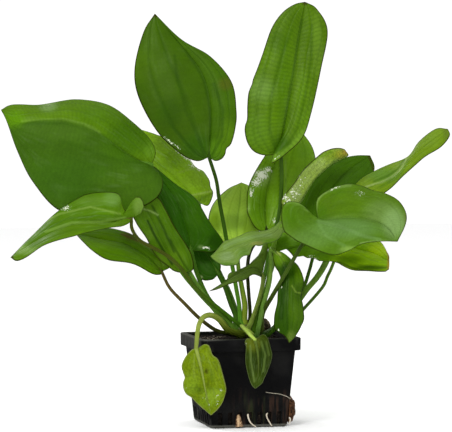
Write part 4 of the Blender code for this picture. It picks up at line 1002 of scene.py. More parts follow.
def placeSpot(leaf, across, down):
    # a spot on the blade, as deep as the midrib and the margins beside it: across and up
    base, tip = leaf["midrib"][0], leaf["midrib"][-1]
    total = depth = 0
    for row in (leaf["midrib"], [base] + leaf["left"] + [tip], [base] + leaf["right"] + [tip]):
        off, deep = nearest(across, down, row)
        total += 1 / (off + photo["blur"]) ** 2
        depth += deep / (off + photo["blur"]) ** 2
    x, depth, z = placeAt(across, down, depth / total)
    return x, z


def layLeaf(leaf):
    # turns the leaf's pixels into millimetres
    base, tip = leaf["midrib"][0], leaf["midrib"][-1]
    plain = {"stalk": leaf.get("stalk"), "midrib": leaf["midrib"]}
    for side in ("left", "right"):
        plain[side] = [base] + leaf.get(side, []) + [tip]
    for key in plain:
        if key + "Seen" in leaf:
            leaf[key] = placeRow(leaf[key + "Seen"], plain[key])
    pixel = photo["pixel"]
    for kind in ("marks", "glints"):
        leaf[kind] = [(*placeSpot(leaf, across, down), round(wide * pixel, 1), round(tall * pixel, 1), *look)
                      for across, down, wide, tall, *look in leaf.get(kind, ())]
    leaf["strokes"] = [([placeSpot(leaf, *spot) for spot in spots], round(half * pixel, 2), *look)
                       for spots, half, *look in leaf.get("strokes", ())]


# Leaf building

crown = {
    "centre": (8.0, 1.0, 79.9), "size": (13.0, 13.0, 11.0),
    "sunk": 1.5, "clear": 3.8,  # how deep in it a stalk starts, and how far straight out it goes
}
blade = {
    "cell": 1.25, "middle": 0.62, "edge": 0.22,  # the mesh's fineness, thickness at midrib and margin
    "groove": 0.22, "grooveWidth": 0.05,  # depth along the veins, and width as a share of the half blade
    "ripple": 0.45, "rippleScale": 0.06,  # height of the soft dents, and how close they lie
    "columns": (9, 36), "rows": 40,  # fewest and most to a half, and fewest along
    "flatUnder": (12, 14),  # half blades narrower than this have weaker dents and grooves
    "markFade": 0.7, "markEnd": 1.6, "glintEnd": 1.5,  # how fast a mark fades, and where it and a glint end
    "gleam": (0.8, 0.95, 0.45, 1), "underside": (130, 160, 84),  # tint of the sheen, and of the paler back
    "lightGain": 1.6, "haze": 0.006,  # how much brighter the studio shows a leaf, and what gloss adds
}
stalk = {
    "sides": 12, "cell": 3.0, "rings": 16,  # how finely it is cut, and its fewest rings
    "measure": 60,  # steps that its length is measured by
    "flare": 1.3, "flareLength": 7.0, "tipRadius": 0.25, "ridge": 0.08,
    "shade": 1.05,  # the studio's light among the stalks
    "ribEnd": 0.97, "ribRings": 30, "ribSink": 0.75,  # how it goes on under the blade
}


def leafPaint(colour, gain=None):
    # the paint that shows as this colour in the studio's light
    light = gain or blade["lightGain"]
    return (*[max(0.0005, (c - blade["haze"]) / light) for c in paint(colour)[:3]], 1.0)


def onCrown(around, up, lift):
    turn, rise = math.radians(around), math.radians(up)
    out = Vector((math.cos(rise) * math.cos(turn), math.cos(rise) * math.sin(turn), math.sin(rise)))
    return Vector(crown["centre"]) + out * Vector(crown["size"]) + out * lift


def smoothPath(points, steps, power=1.0):
    # smooth curve through the points, cut into equal steps; a power under 1 takes the first ones longer
    knots = [Vector(point) for point in points]
    knots = [2 * knots[0] - knots[1]] + knots + [2 * knots[-1] - knots[-2]]
    samples = 16
    dense = []
    for before, start, end, after in zip(knots, knots[1:], knots[2:], knots[3:]):
        for sample in range(samples):
            t = sample / samples
            dense.append(0.5 * (
                2 * start + (end - before) * t
                + (2 * before - 5 * start + 4 * end - after) * t * t
                + (3 * start - before - 3 * end + after) * t * t * t
            ))
    dense.append(knots[-2])
    reach = [0.0]
    for first, second in zip(dense, dense[1:]):
        reach.append(reach[-1] + (second - first).length)
    path = []
    span = 0
    for step in range(steps + 1):
        target = reach[-1] * (step / steps) ** power
        while span < len(dense) - 2 and reach[span + 1] < target:
            span += 1
        share = (target - reach[span]) / max(reach[span + 1] - reach[span], 1e-9)
        path.append(dense[span].lerp(dense[span + 1], share))
    return path


def pathLength(path):
    return sum((b - a).length for a, b in zip(path, path[1:]))


def bladeGrid(leaf, rows):
    # middle surface of the blade, rows from base to tip and columns from left to right margin
    base, tip = leaf["midrib"][0], leaf["midrib"][-1]
    middle = smoothPath(leaf["midrib"], rows)
    fan = leaf.get("fan", 1.0)
    margins = {side: smoothPath([base] + leaf[side] + [tip], rows, fan) for side in ("left", "right")}
    size, count, start = leaf["waves"]
    widest = max((margins[side][row] - middle[row]).length for side in margins for row in range(rows + 1))
    fewest, mostColumns = blade["columns"]
    columns = min(mostColumns, max(fewest, round(widest / blade["cell"])))
    dentWidth, grooveWidth = blade["flatUnder"]
    spacing = leaf["lines"][0]
    grid, ups = [], []
    lastUp = Vector((0, -1, 0))
    for row in range(rows + 1):
        v = row / rows
        ahead = middle[min(row + 1, rows)] - middle[max(row - 1, 0)]
        up = (margins["right"][row] - margins["left"][row]).cross(ahead)
        up = up.normalized() if up.length > 1e-6 else lastUp
        lastUp = up
        line = []
        for column in range(-columns, columns + 1):
            u = column / columns
            edge = margins["left" if u < 0 else "right"][row]
            out = abs(u)
            width = (edge - middle[row]).length
            place = middle[row].lerp(edge, out)
            lift = leaf["arch"] * width * 4 * out * (1 - out) * min(1.0, v / leaf.get("flatBase", 0.08))
            dent = blade["ripple"] * noise.noise(place * blade["rippleScale"]) * min(1.0, width / dentWidth)
            lift += dent * math.sin(math.pi * v) ** 0.5
            swell = math.sin(2 * math.pi * (count * v + start + (0.25 if u > 0 else 0)))
            lift += size * out ** 3 * swell * math.sin(math.pi * v) ** 0.5
            fade = min(1.0, width / grooveWidth)
            for vein in (0.0, spacing, 2 * spacing):
                off = (out - vein) / blade["grooveWidth"]
                lift -= blade["groove"] * fade * math.exp(-off * off) * (1.3 if vein == 0 else 1.0)
            line.append(place + up * lift)
        grid.append(line)
        ups.append(up)
    return grid, ups, middle


def strokeReach(place, points):
    # distance in the picture plane from a point to a line drawn over the leaf
    best = 1e9
    for (ax, az), (bx, bz) in zip(points, points[1:]):
        dx, dz = bx - ax, bz - az
        share = ((place.x - ax) * dx + (place.z - az) * dz) / max(dx * dx + dz * dz, 1e-9)
        share = min(1.0, max(0.0, share))
        best = min(best, math.hypot(place.x - ax - share * dx, place.z - az - share * dz))
    return best


def tintAt(leaf, place):
    # colour and share of the leaf's marks and strokes at a point of the plant's frame
    colour, share = Vector((0, 0, 0)), 0.0
    layers = []
    for x, z, reachX, reachZ, painted, amount in leaf["marks"]:
        off = math.hypot((place.x - x) / reachX, (place.z - z) / reachZ)
        layers.append((off, painted, amount))
    for points, half, painted, amount in leaf["strokes"]:
        if painted:
            layers.append((strokeReach(place, points) / half, painted, amount))
    for off, painted, amount in layers:
        if off < blade["markEnd"]:
            weight = amount * math.exp(-off ** 4 * blade["markFade"])
            total = weight + share * (1 - weight)
            if total > 1e-5:
                colour = (Vector(leafPaint(painted)[:3]) * weight + colour * share * (1 - weight)) / total
            share = total
    return (*colour, share)


def glintAt(leaf, place):
    # how strongly painted highlights (glints) lighten the leaf at a point
    shines = [(math.hypot((place.x - x) / reachX, (place.z - z) / reachZ), amount)
              for x, z, reachX, reachZ, amount in leaf["glints"]]
    shines += [(strokeReach(place, points) / half, amount)
               for points, half, painted, amount in leaf["strokes"] if not painted]
    end = blade["glintEnd"]
    return max([0.0] + [amount * (1 - off / end) for off, amount in shines if off < end])


def addBlade(build, leaf, rows):
    # upper and lower sheet of the blade, closed along the margins
    grid, ups, middle = bladeGrid(leaf, rows)
    columns = len(grid[0]) // 2
    last = 2 * columns
    upper, under = {}, {}
    baseCorner = build.point(grid[0][columns], leaf, 0, 0)
    tipCorner = build.point(grid[-1][columns], leaf, 0, 0)
    for row in range(1, rows):
        for column in range(last + 1):
            place = grid[row][column]
            if column in (0, last):
                upper[row, column] = under[row, column] = build.point(place, leaf, 0, 0)
                continue
            inward = (place - grid[row][0 if column < columns else last]).length
            across = grid[row][column + 1] - grid[row][column - 1]
            along = grid[row + 1][column] - grid[row - 1][column]
            normal = across.cross(along).normalized()
            out = abs(column - columns) / columns
            half = (blade["edge"] + (blade["middle"] - blade["edge"]) * (1 - out ** 2)) / 2
            upper[row, column] = build.point(place + normal * half, leaf, 0, inward)
            under[row, column] = build.point(place - normal * half, leaf, 1, inward)
    for column in range(last + 1):
        upper[0, column] = under[0, column] = baseCorner
        upper[rows, column] = under[rows, column] = tipCorner
    for row in range(rows):
        for column in range(last):
            ring = ((row, column), (row, column + 1), (row + 1, column + 1), (row + 1, column))
            for sheet in (upper, under):
                corners, charts = [], []
                for key in ring:
                    if sheet[key] in corners:
                        continue
                    corners.append(sheet[key])
                    charts.append((key[1] / last, key[0] / rows))
                if sheet is under:
                    corners.reverse()
                    charts.reverse()
                build.face(corners, charts, 0)
    return grid, ups, middle


def addStalk(build, leaf, grid, ups, middle):
    # stalk from inside the crown to the blade, then on as the midrib underneath, tapering to the tip
    around, up = leaf["foot"]
    base = middle[0]
    rise = [onCrown(around, up, -crown["sunk"]), onCrown(around, up, crown["clear"])]
    rise += [Vector(point) for point in leaf["stalk"]] + [base]
    length = pathLength(smoothPath(rise, stalk["measure"]))
    steps = max(stalk["rings"], round(length / stalk["cell"]))
    path = smoothPath(rise, steps)
    thick, thin = leaf["thick"]
    radii = []
    for index in range(steps + 1):
        share = index / steps
        flare = 1 + (stalk["flare"] - 1) * math.exp(-((share * length / stalk["flareLength"]) ** 2))
        radii.append((thick + (thin - thick) * share) * flare)
    rows = len(middle) - 1
    stride = max(1, rows // stalk["ribRings"])
    ribSide = leaf.get("ribSide", 1)  # -1 puts the rib on the side that faces out
    for row in range(stride, int(rows * stalk["ribEnd"]), stride):
        share = row / rows
        radius = thin + (stalk["tipRadius"] - thin) * min(1, share * 1.15) ** 0.7
        sink = (radius * stalk["ribSink"]) * min(1, row / (3 * stride))
        path.append(grid[row][len(grid[0]) // 2] - ups[row] * sink * ribSide)
        radii.append(radius)
    total = len(path) - 1
    sides = stalk["sides"]
    rings = []
    frameX = Vector((1, 0, 0))
    for index, place in enumerate(path):
        ahead = (path[min(index + 1, total)] - path[max(index - 1, 0)]).normalized()
        frameX = (frameX - ahead * frameX.dot(ahead)).normalized()
        frameY = ahead.cross(frameX)
        ring = []
        for step in range(sides):
            angle = 2 * math.pi * step / sides
            radius = radii[index] * (1 + stalk["ridge"] * math.cos(3 * angle))
            out = frameX * math.cos(angle) + frameY * math.sin(angle)
            ring.append(build.point(place + out * radius, None, 0, 9))
        rings.append(ring)
    for index in range(total):
        for step in range(sides):
            beside = (step + 1) % sides
            near, far = rings[index], rings[index + 1]
            corners = ((step, index), (step + 1, index), (step + 1, index + 1), (step, index + 1))
            charts = [(turn / sides, along / steps) for turn, along in corners]
            build.face((near[step], near[beside], far[beside], far[step]), charts, 1)
    for ring, index in ((rings[0][::-1], 0), (rings[-1], total)):
        build.face(ring, [(0.5, index / steps)] * sides, 1)


class Shape:
    # points, faces, chart and paint of one piece while it is put together, in the plant's frame

    def __init__(self):
        self.places, self.tints, self.glints = [], [], []
        self.lows, self.inwards = [], []
        self.faces, self.charts, self.slots = [], [], []

    def point(self, place, leaf, low, inward):
        self.places.append(plantTurn @ (place * mm))
        self.tints.append(tintAt(leaf, place) if leaf else (0, 0, 0, 0))
        self.glints.append(glintAt(leaf, place) if leaf else 0.0)
        self.lows.append(float(low))
        self.inwards.append(float(inward))
        return len(self.places) - 1

    def face(self, corners, charts, slot):
        self.faces.append(tuple(corners))
        self.charts.extend(charts)
        self.slots.append(slot)

    def toObject(self, name, materials):
        mesh = bpy.data.meshes.new(name)
        mesh.from_pydata(self.places, [], self.faces)
        chart = mesh.uv_layers.new(name="leafChart")
        chart.data.foreach_set("uv", [value for pair in self.charts for value in pair])
        tint = mesh.attributes.new("tint", "FLOAT_COLOR", "POINT")
        tint.data.foreach_set("color", [value for row in self.tints for value in row])
        for key, values in (("below", self.lows), ("inward", self.inwards), ("glint", self.glints)):
            mesh.attributes.new(key, "FLOAT", "POINT").data.foreach_set("value", values)
        mesh.polygons.foreach_set("material_index", self.slots)
        for material in materials:
            mesh.materials.append(material)
        mesh.shade_smooth()
        return newObject(name, mesh)


def buildLeaf(node, leaf):
    name = "leaf" + "".join(word.capitalize() for word in node.split("_"))
    left, right = leaf["paint"]
    spacing, veinStrength, rungs, rungStrength = leaf["lines"]
    under = [0.6 * a + 0.4 * b for a, b in zip(left, blade["underside"])]
    skin = newMaterial(name + "Blade", bladePattern, {
        "Left": leafPaint(left), "Right": leafPaint(right), "Vein": leafPaint(leaf["veinPaint"]),
        "Under": leafPaint(under), "Rim": leafPaint(leaf.get("rim", (54, 54, 20))),
        "Vein spacing": spacing, "Vein strength": veinStrength, "Rungs": rungs, "Rung strength": rungStrength,
        "Rung relief": rungStrength, "Gloss": leaf["gloss"], "Streak": leaf.get("streak", 0.06),
        "Mottle": leaf.get("mottle", 0.0),
    }, bump=0.00022, specular=leaf.get("sheen", 0.13), gleam=blade["gleam"])
    foot, top = leaf["stem"]
    stem = newMaterial(name + "Stalk", stalkPattern, {
        "Foot": leafPaint(foot, stalk["shade"]), "Top": leafPaint(top, leaf.get("stemShade", 1.3)),
        "Rib": leafPaint(leaf.get("ribPaint", under)),
    }, bump=0.0001, specular=0.25, gleam=blade["gleam"])
    build = Shape()
    rows = max(blade["rows"], round(pathLength([Vector(point) for point in leaf["midrib"]]) / blade["cell"]))
    grid, ups, middle = addBlade(build, leaf, rows)
    addStalk(build, leaf, grid, ups, middle)
    piece = build.toObject(name, (skin, stem))
    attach(piece, "root")
    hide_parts("leaf_" + node, "stalk_" + node)
    return piece


for node, leaf in leaves.items():
    layLeaf(leaf)
    buildLeaf(node, leaf)
print("leaves built:", len(leaves))


# Geometry Nodes helpers

treeSockets = {float: "NodeSocketFloat", int: "NodeSocketInt", type(None): "NodeSocketMaterial"}


def newTree(name, inputs):
    # node tree with named inputs: values, counts, and a material where nothing is given
    tree = bpy.data.node_groups.new(name, "GeometryNodeTree")
    tree.interface.new_socket(name="Geometry", in_out="INPUT", socket_type="NodeSocketGeometry")
    for key, default in inputs.items():
        socket = tree.interface.new_socket(name=key, in_out="INPUT", socket_type=treeSockets[type(default)])
        if default is not None:
            socket.default_value = default
    tree.interface.new_socket(name="Geometry", in_out="OUTPUT", socket_type="NodeSocketGeometry")
    return tree, tree.nodes.new("NodeGroupInput").outputs, tree.nodes.new("NodeGroupOutput").inputs


def addNode(tree, kind, inputs=None, **settings):
    node = tree.nodes.new(kind)
    for key, value in settings.items():
        setattr(node, key, value)
    for key, value in (inputs or {}).items():
        feed(tree, node.inputs[key], value)
    return node


def vector3(tree, x, y, z):
    return addNode(tree, "ShaderNodeCombineXYZ", {0: x, 1: y, 2: z}).outputs[0]


def randomValue(tree, low, high, seed, kind="FLOAT"):
    node = tree.nodes.new("FunctionNodeRandomValue")
    node.data_type = kind
    lowest, highest, result = {"FLOAT": (2, 3, 1), "FLOAT_VECTOR": (0, 1, 0)}[kind]
    feed(tree, node.inputs[lowest], low)
    feed(tree, node.inputs[highest], high)
    feed(tree, node.inputs["Seed"], seed)
    return node.outputs[result]


def noisePush(tree, scale, reach):
    # a push to every side, from noise on the place of each point
    fog = addNode(tree, "ShaderNodeTexNoise", {"Scale": scale, "Detail": 1.0}).outputs["Color"]
    middle = (0.5, 0.5, 0.5)
    push = addNode(tree, "ShaderNodeVectorMath", {0: fog, 1: middle}, operation="SUBTRACT").outputs[0]
    return addNode(tree, "ShaderNodeVectorMath", {0: push, "Scale": reach}, operation="SCALE").outputs[0]


def closeTree(tree, shape, material, out):
    whole = addNode(tree, "GeometryNodeRealizeInstances", {"Geometry": shape}).outputs[0]
    dressed = addNode(tree, "GeometryNodeSetMaterial", {"Geometry": whole, "Material": material}).outputs[0]
    tree.links.new(dressed, out["Geometry"])


def grow(name, mesh, tree, values):
    # runs the tree on the mesh, and keeps what it makes as a plain mesh
    piece = newObject(name, mesh)
    modifier = piece.modifiers.new("grow", "NODES")
    modifier.node_group = tree
    for item in tree.interface.items_tree:
        if item.item_type == "SOCKET" and item.in_out == "INPUT" and item.name in values:
            modifier[item.identifier] = values[item.name]
    graph = bpy.context.evaluated_depsgraph_get()
    made = bpy.data.meshes.new_from_object(piece.evaluated_get(graph), depsgraph=graph)
    piece.modifiers.clear()
    piece.data = made
    made.name = name
    return piece


def meshObject(name, points, faces, material=None):
    mesh = bpy.data.meshes.new(name)
    mesh.from_pydata([Vector(point) * mm for point in points], [], faces)
    if material:
        mesh.materials.append(material)
    return newObject(name, mesh)


def lumpObject(name, placeOf, material):
    # a finely divided ball, each corner moved to the place that placeOf gives for it
    lump = bmesh.new()
    bmesh.ops.create_icosphere(lump, subdivisions=5, radius=1.0)
    for corner in lump.verts:
        corner.co = placeOf(corner.co) * mm
    mesh = bpy.data.meshes.new(name)
    lump.to_mesh(mesh)
    lump.free()
    mesh.shade_smooth()
    mesh.materials.append(material)
    return newObject(name, mesh)


def facesOut(mesh):
    shell = bmesh.new()
    shell.from_mesh(mesh)
    bmesh.ops.remove_doubles(shell, verts=shell.verts, dist=1e-7)
    bmesh.ops.recalc_face_normals(shell, faces=shell.faces)
    shell.to_mesh(mesh)
    shell.free()


# Pot

pot = {
    "height": 81.0, "rimHalf": 45.0, "collar": 11.3, "topHalf": 41.7, "baseHalf": 36.5, "wall": 1.4,
    "corner": 5.5, "cornerSteps": 9, "edge": 0.35,
    "slots": 7, "pitch": 9.2, "slotWidth": 4.1, "slotFrom": 2.6, "slotTo": 14.0,
    "spread": (0.05, 0.07), "bend": 38, "flatArea": 3e-5,
    # the grey paint serves for dust and for the painted highlights and reflection on the pot's edges
    "paint": {"Black": (10, 10, 11), "Dust": (92, 92, 84), "Soil": (70, 42, 22), "Algae": (44, 50, 20)},
}


def wallHalf(height):
    return pot["baseHalf"] + (pot["topHalf"] - pot["baseHalf"]) * height / (pot["height"] - pot["wall"])


def spreadOut(mesh):
    # the pot flares a little more to its left and right than its plain walls do
    wide, narrow = pot["spread"]
    for vertex in mesh.vertices:
        low = min(1, max(0, 1 - vertex.co.z / (pot["height"] * mm)))
        vertex.co.x *= 1 + wide - narrow * low ** 1.6


def roundedSquare(half, corner, height, cornerSteps, sideSteps=1):
    ring = []
    for turn in range(4):
        angle = turn * math.pi / 2
        spots = []
        for step in range(cornerSteps + 1):
            bend = step * math.pi / 2 / cornerSteps
            spots.append((half - corner + corner * math.cos(bend), half - corner + corner * math.sin(bend)))
        for step in range(1, sideSteps):
            spots.append(((half - corner) * (1 - 2 * step / sideSteps), half))
        for x, y in spots:
            turnedX = x * math.cos(angle) - y * math.sin(angle)
            turnedY = x * math.sin(angle) + y * math.cos(angle)
            ring.append((turnedX, turnedY, height))
    return ring


def stackRings(rings):
    # points and faces of a closed body, from rings of equal count
    count = len(rings[0])
    points = [point for ring in rings for point in ring]
    faces = []
    for level in range(len(rings) - 1):
        for index in range(count):
            beside = (index + 1) % count
            low, high = level * count, (level + 1) * count
            faces.append((low + index, low + beside, high + beside, high + index))
    faces.append(tuple(range(count))[::-1])
    faces.append(tuple(range(len(points) - count, len(points))))
    return points, faces


def makeSlotTree():
    tree, given, out = newTree("potSlots", {
        "Count": 7, "Pitch": 0.0092, "Width": 0.0041, "From": 0.0026, "To": 0.014, "Reach": 0.011,
        "Wall at": 0.0365, "Plastic": None,
    })
    first = times(tree, minus(tree, given["Count"], 1.0), -0.5)
    first = times(tree, first, given["Pitch"])
    tall = minus(tree, given["To"], given["From"])
    middle = timesPlus(tree, tall, 0.5, given["From"])
    row = addNode(tree, "GeometryNodeMeshLine", {
        "Count": given["Count"], "Offset": vector3(tree, given["Pitch"], 0.0, 0.0),
        "Start Location": vector3(tree, first, times(tree, given["Wall at"], -1.0), middle),
    })
    cut = addNode(tree, "GeometryNodeMeshCube", {"Size": vector3(tree, given["Width"], given["Reach"], tall)})
    cuts = addNode(tree, "GeometryNodeInstanceOnPoints", {
        "Points": row.outputs[0], "Instance": cut.outputs[0],
    })
    corners = addNode(tree, "GeometryNodeMeshLine", {"Count": 4, "Offset": (0, 0, 0)})
    turn = times(tree, tree.nodes.new("GeometryNodeInputIndex").outputs[0], math.pi / 2)
    sides = addNode(tree, "GeometryNodeInstanceOnPoints", {
        "Points": corners.outputs[0], "Instance": cuts.outputs[0], "Rotation": vector3(tree, 0.0, 0.0, turn),
    })
    allCuts = addNode(tree, "GeometryNodeRealizeInstances", {"Geometry": sides.outputs[0]})
    pierced = addNode(tree, "GeometryNodeMeshBoolean", operation="DIFFERENCE", solver="EXACT")
    tree.links.new(given["Geometry"], pierced.inputs["Mesh 1"])
    tree.links.new(allCuts.outputs[0], pierced.inputs["Mesh 2"])
    closeTree(tree, pierced.outputs[0], given["Plastic"], out)
    return tree


potDirtAndHighlights = {  # where each begins and ends, in metres, as Object coordinates are
    "dirtAcross": (-0.022, 0.002), "dirtFade": 0.012, "dirtRagged": 0.022,
    "dustAcross": (-0.0345, -0.037), "dustUp": (0.016, 0.045), "footUp": (0.0018, 0.0034),
    "brimUp": (0.0795, 0.0806), "brimAcross": (-0.02, -0.043),
    "cheekUp": (0.069, 0.0705), "cheekAcross": (-0.0456, -0.0464), "hazeUp": (0.0799, 0.0802),
}


def makePotPattern():
    # near-black plastic, greyer with dust on the left side, dirty streaks low on the front, and painted
    # highlights and a painted reflection on its edges
    tree, given, out = newGroup("potPattern", {
        "Black": (0.01, 0.01, 0.01, 1), "Dust": (0.1, 0.1, 0.1, 1), "Soil": (0.05, 0.02, 0.01, 1),
        "Algae": (0.03, 0.04, 0.01, 1), "Streak top": 0.034, "Streak share": 0.5, "Dust share": 0.5,
    })
    x, _, z = splitVector(tree, tree.nodes.new("ShaderNodeTexCoord").outputs["Object"])
    # soil washed down from the slots, then algae between it
    streak = slope(tree, grain(tree, 260, 3.0, stretch=(1, 1, 0.07), seed=4.0), 0.47, 0.62)
    ragged = timesPlus(tree, grain(tree, 60, 2.0), potDirtAndHighlights["dirtRagged"], z)
    end = reckon(tree, "ADD", given["Streak top"], potDirtAndHighlights["dirtFade"])
    low = slope(tree, ragged, given["Streak top"], end, 1.0, 0.0)
    toRight = slope(tree, x, *potDirtAndHighlights["dirtAcross"])
    share = times(tree, streak, low, given["Streak share"])
    body = blendColour(tree, times(tree, share, toRight), given["Black"], given["Soil"])
    green = slope(tree, grain(tree, 200, 2.0, stretch=(1, 1, 0.07), seed=9.0), 0.52, 0.66)
    green = times(tree, green, low, toRight, 0.5)
    body = blendColour(tree, green, body, given["Algae"])
    # dust on the left wall, its flecks also painting that lit face lighter; a haze all over; a painted
    # reflection at the foot; painted highlights on the brim and the collar's left cheek
    fleck = slope(tree, grain(tree, 420, 3.0, stretch=(1, 1, 0.22), seed=7.0), 0.5, 0.68)
    left = slope(tree, x, *potDirtAndHighlights["dustAcross"])
    lowLeft = slope(tree, z, *potDirtAndHighlights["dustUp"], 1.0, 0.28)
    # dust flecks, low on the left wall, also painting the lit left face lighter
    dustAndLitLeft = times(tree, fleck, left, lowLeft, given["Dust share"])
    haze = times(tree, slope(tree, grain(tree, 38, 4.0, seed=2.0), 0.45, 0.7), 0.05)
    # painted reflection of the floor along the foot
    foot = slope(tree, z, *potDirtAndHighlights["footUp"], 0.8, 0.0)
    # painted highlight along the brim's top, strongest on the left
    brimHighlight = times(tree, slope(tree, z, *potDirtAndHighlights["brimUp"]), slope(tree, x, *potDirtAndHighlights["brimAcross"], 0.1, 0.7))
    # the collar's left cheek painted lighter, as lit from the left
    litCheek = slope(tree, x, *potDirtAndHighlights["cheekAcross"], 0.0, 0.3)
    litCheek = times(tree, slope(tree, z, *potDirtAndHighlights["cheekUp"]), litCheek)
    haze = times(tree, haze, slope(tree, z, *potDirtAndHighlights["hazeUp"], 1.0, 0.0))
    body = blendColour(tree, most(tree, foot, brimHighlight, litCheek, haze, dustAndLitLeft), body, given["Dust"])
    feed(tree, out["Color"], body)
    rough = timesPlus(tree, sway(tree, 150, 3.0, seed=6.0), 0.14, 0.36)
    feed(tree, out["Roughness"], timesPlus(tree, share, 0.3, rough))
    feed(tree, out["Height"], timesPlus(tree, streak, 0.25, grain(tree, 900, 2.0, seed=8.0)))
    return tree


potPattern = makePotPattern()


def buildPot():
    colours = {key: paint(colour) for key, colour in pot["paint"].items()}
    plastic = newMaterial("potPlastic", potPattern, colours, bump=0.00012, specular=0.25)
    top, lip, wall, edge = pot["height"], pot["height"] - pot["collar"], pot["wall"], pot["edge"]
    corner, rim, base = pot["corner"], pot["rimHalf"], pot["baseHalf"]
    inner = wallHalf(top) - wall
    plan = [  # half width, corner radius, height, from the underside round the rim to the inner floor
        (base - 2.4, corner - 2.6, 0), (base - 1.3, corner - 2.0, 0.12), (base - 0.5, corner - 1.4, 0.6),
        (base, corner - 1.1, 1.5), (wallHalf(2.4), corner - 1, 2.4),
        (wallHalf(top - wall), corner, top - wall), (rim - wall, corner, top - wall),
        (rim - wall, corner, lip + edge), (rim - wall + edge, corner + edge, lip),
        (rim - edge, corner + wall - edge, lip), (rim - 0.1, corner + wall - 0.1, lip + 0.15),
        (rim, corner + wall, lip + edge), (rim, corner + wall, top - 0.8),
        (rim - 0.12, corner + wall, top - 0.35), (rim - 0.45, corner + wall, top - 0.08),
        (rim - 0.9, corner + wall, top), (inner + 0.7, corner, top),
        (inner + 0.2, corner - 0.5, top - 0.15), (inner, corner - 0.8, top - 0.6),
        (wallHalf(4) - wall, corner - 1.6, 4), (wallHalf(2) - wall - 0.6, corner - 2, 2),
        (wallHalf(1) - wall - 2, corner - 2.4, wall),
    ]
    rings = [roundedSquare(half, bend, height, pot["cornerSteps"]) for half, bend, height in plan]
    shell = meshObject("potShell", *stackRings(rings))
    facesOut(shell.data)
    values = {
        "Count": pot["slots"], "Pitch": pot["pitch"] * mm, "Width": pot["slotWidth"] * mm,
        "From": pot["slotFrom"] * mm, "To": pot["slotTo"] * mm, "Wall at": pot["baseHalf"] * mm,
        "Plastic": plastic,
    }
    piece = grow("potBody", shell.data, makeSlotTree(), values)
    bpy.data.objects.remove(shell)
    spreadOut(piece.data)
    for face in piece.data.polygons:
        face.use_smooth = face.area < pot["flatArea"]
    piece.data.set_sharp_from_angle(angle=math.radians(pot["bend"]))
    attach(piece, "root")
    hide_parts("pot")


buildPot()
print("pot built")


# Substrate

soil = {
    "top": 77.6, "mound": 1.6, "moundReach": 22.0, "gap": 0.35, "lump": 0.55,
    "dark": (18, 15, 12), "brown": (42, 32, 23), "dry": (96, 84, 64),
    "scatterHalf": 38.5,  # grains lie this far to each side
    "levels": 22, "hoops": 42, "sideSteps": 70, "clear": 0.15,  # rings up the wall and on top, and their cuts
}


def makeSoilPattern():
    # dark fine soil with brown and dry specks of several sizes
    tree, given, out = newGroup("soilPattern", {
        "Dark": (0.01, 0.01, 0.01, 1), "Brown": (0.05, 0.03, 0.02, 1), "Dry": (0.4, 0.3, 0.2, 1),
        "Brown share": 0.5, "Dry share": 0.3,
    })
    coarse, fine = grain(tree, 330, 4.0), grain(tree, 1100, 3.0, seed=2.0)
    brown = times(tree, slope(tree, coarse, 0.42, 0.66), given["Brown share"])
    body = blendColour(tree, brown, given["Dark"], given["Brown"])
    dry = times(tree, slope(tree, grain(tree, 700, 2.0, seed=5.0), 0.66, 0.74), given["Dry share"])
    body = blendColour(tree, dry, body, given["Dry"])
    feed(tree, out["Color"], shadeBy(tree, body, spread(tree, fine, 0.7, 1.25)))
    feed(tree, out["Roughness"], spread(tree, fine, 0.75, 0.95))
    feed(tree, out["Height"], timesPlus(tree, coarse, 1.5, fine))
    return tree


soilPattern = makeSoilPattern()


def soilMaterial(name, dark, brown, brownShare, dryShare):
    return newMaterial(name, soilPattern, {
        "Dark": paint(dark), "Brown": paint(brown), "Dry": paint(soil["dry"]),
        "Brown share": brownShare, "Dry share": dryShare,
    }, bump=0.0006, specular=0.2)


def soilHeight(x, y):
    centre = plantTurn @ Vector(crown["centre"])
    away = math.hypot(x - centre.x, y - centre.y)
    height = soil["top"] + soil["mound"] * math.exp(-((away / soil["moundReach"]) ** 2))
    spot = Vector((x, y, 0))
    height += soil["lump"] * noise.noise(spot * 0.16) + 0.45 * soil["lump"] * noise.noise(spot * 0.45)
    return height + 0.25 * soil["lump"] * noise.noise(spot * 1.3) - 0.1


def buildSubstrate():
    inset, corner = pot["wall"] + soil["gap"] + soil["clear"], pot["corner"] - 1.6
    levels, hoops, cuts = soil["levels"], soil["hoops"], soil["sideSteps"]
    rings = []
    for step in range(levels):
        height = 1.8 + (soil["top"] - 2.2) * step / (levels - 1)
        rings.append(roundedSquare(wallHalf(height) - inset, corner, height, 6, cuts))
    outer = wallHalf(soil["top"]) - inset
    for step in range(1, hoops):
        share = 1 - step / hoops
        rings.append(roundedSquare(outer * share, corner * share, soil["top"], 6, cuts))
    points, faces = stackRings(rings)
    count = len(rings[0])
    shaped = []
    for index, (x, y, z) in enumerate(points):
        if index >= (levels - 1) * count:
            shaped.append((x, y, soilHeight(x, y)))
            continue
        pull = 1 - 0.012 * abs(noise.noise(Vector((x, y, z)) * 0.22)) if index >= count else 1
        shaped.append((x * pull, y * pull, z))
    earth = soilMaterial("substrateSoil", soil["dark"], soil["brown"], 0.6, 0.35)
    piece = meshObject("substrateBlock", shaped, faces, earth)
    facesOut(piece.data)
    spreadOut(piece.data)
    piece.data.shade_smooth()
    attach(piece, "root")
    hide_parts("substrate")
    return piece


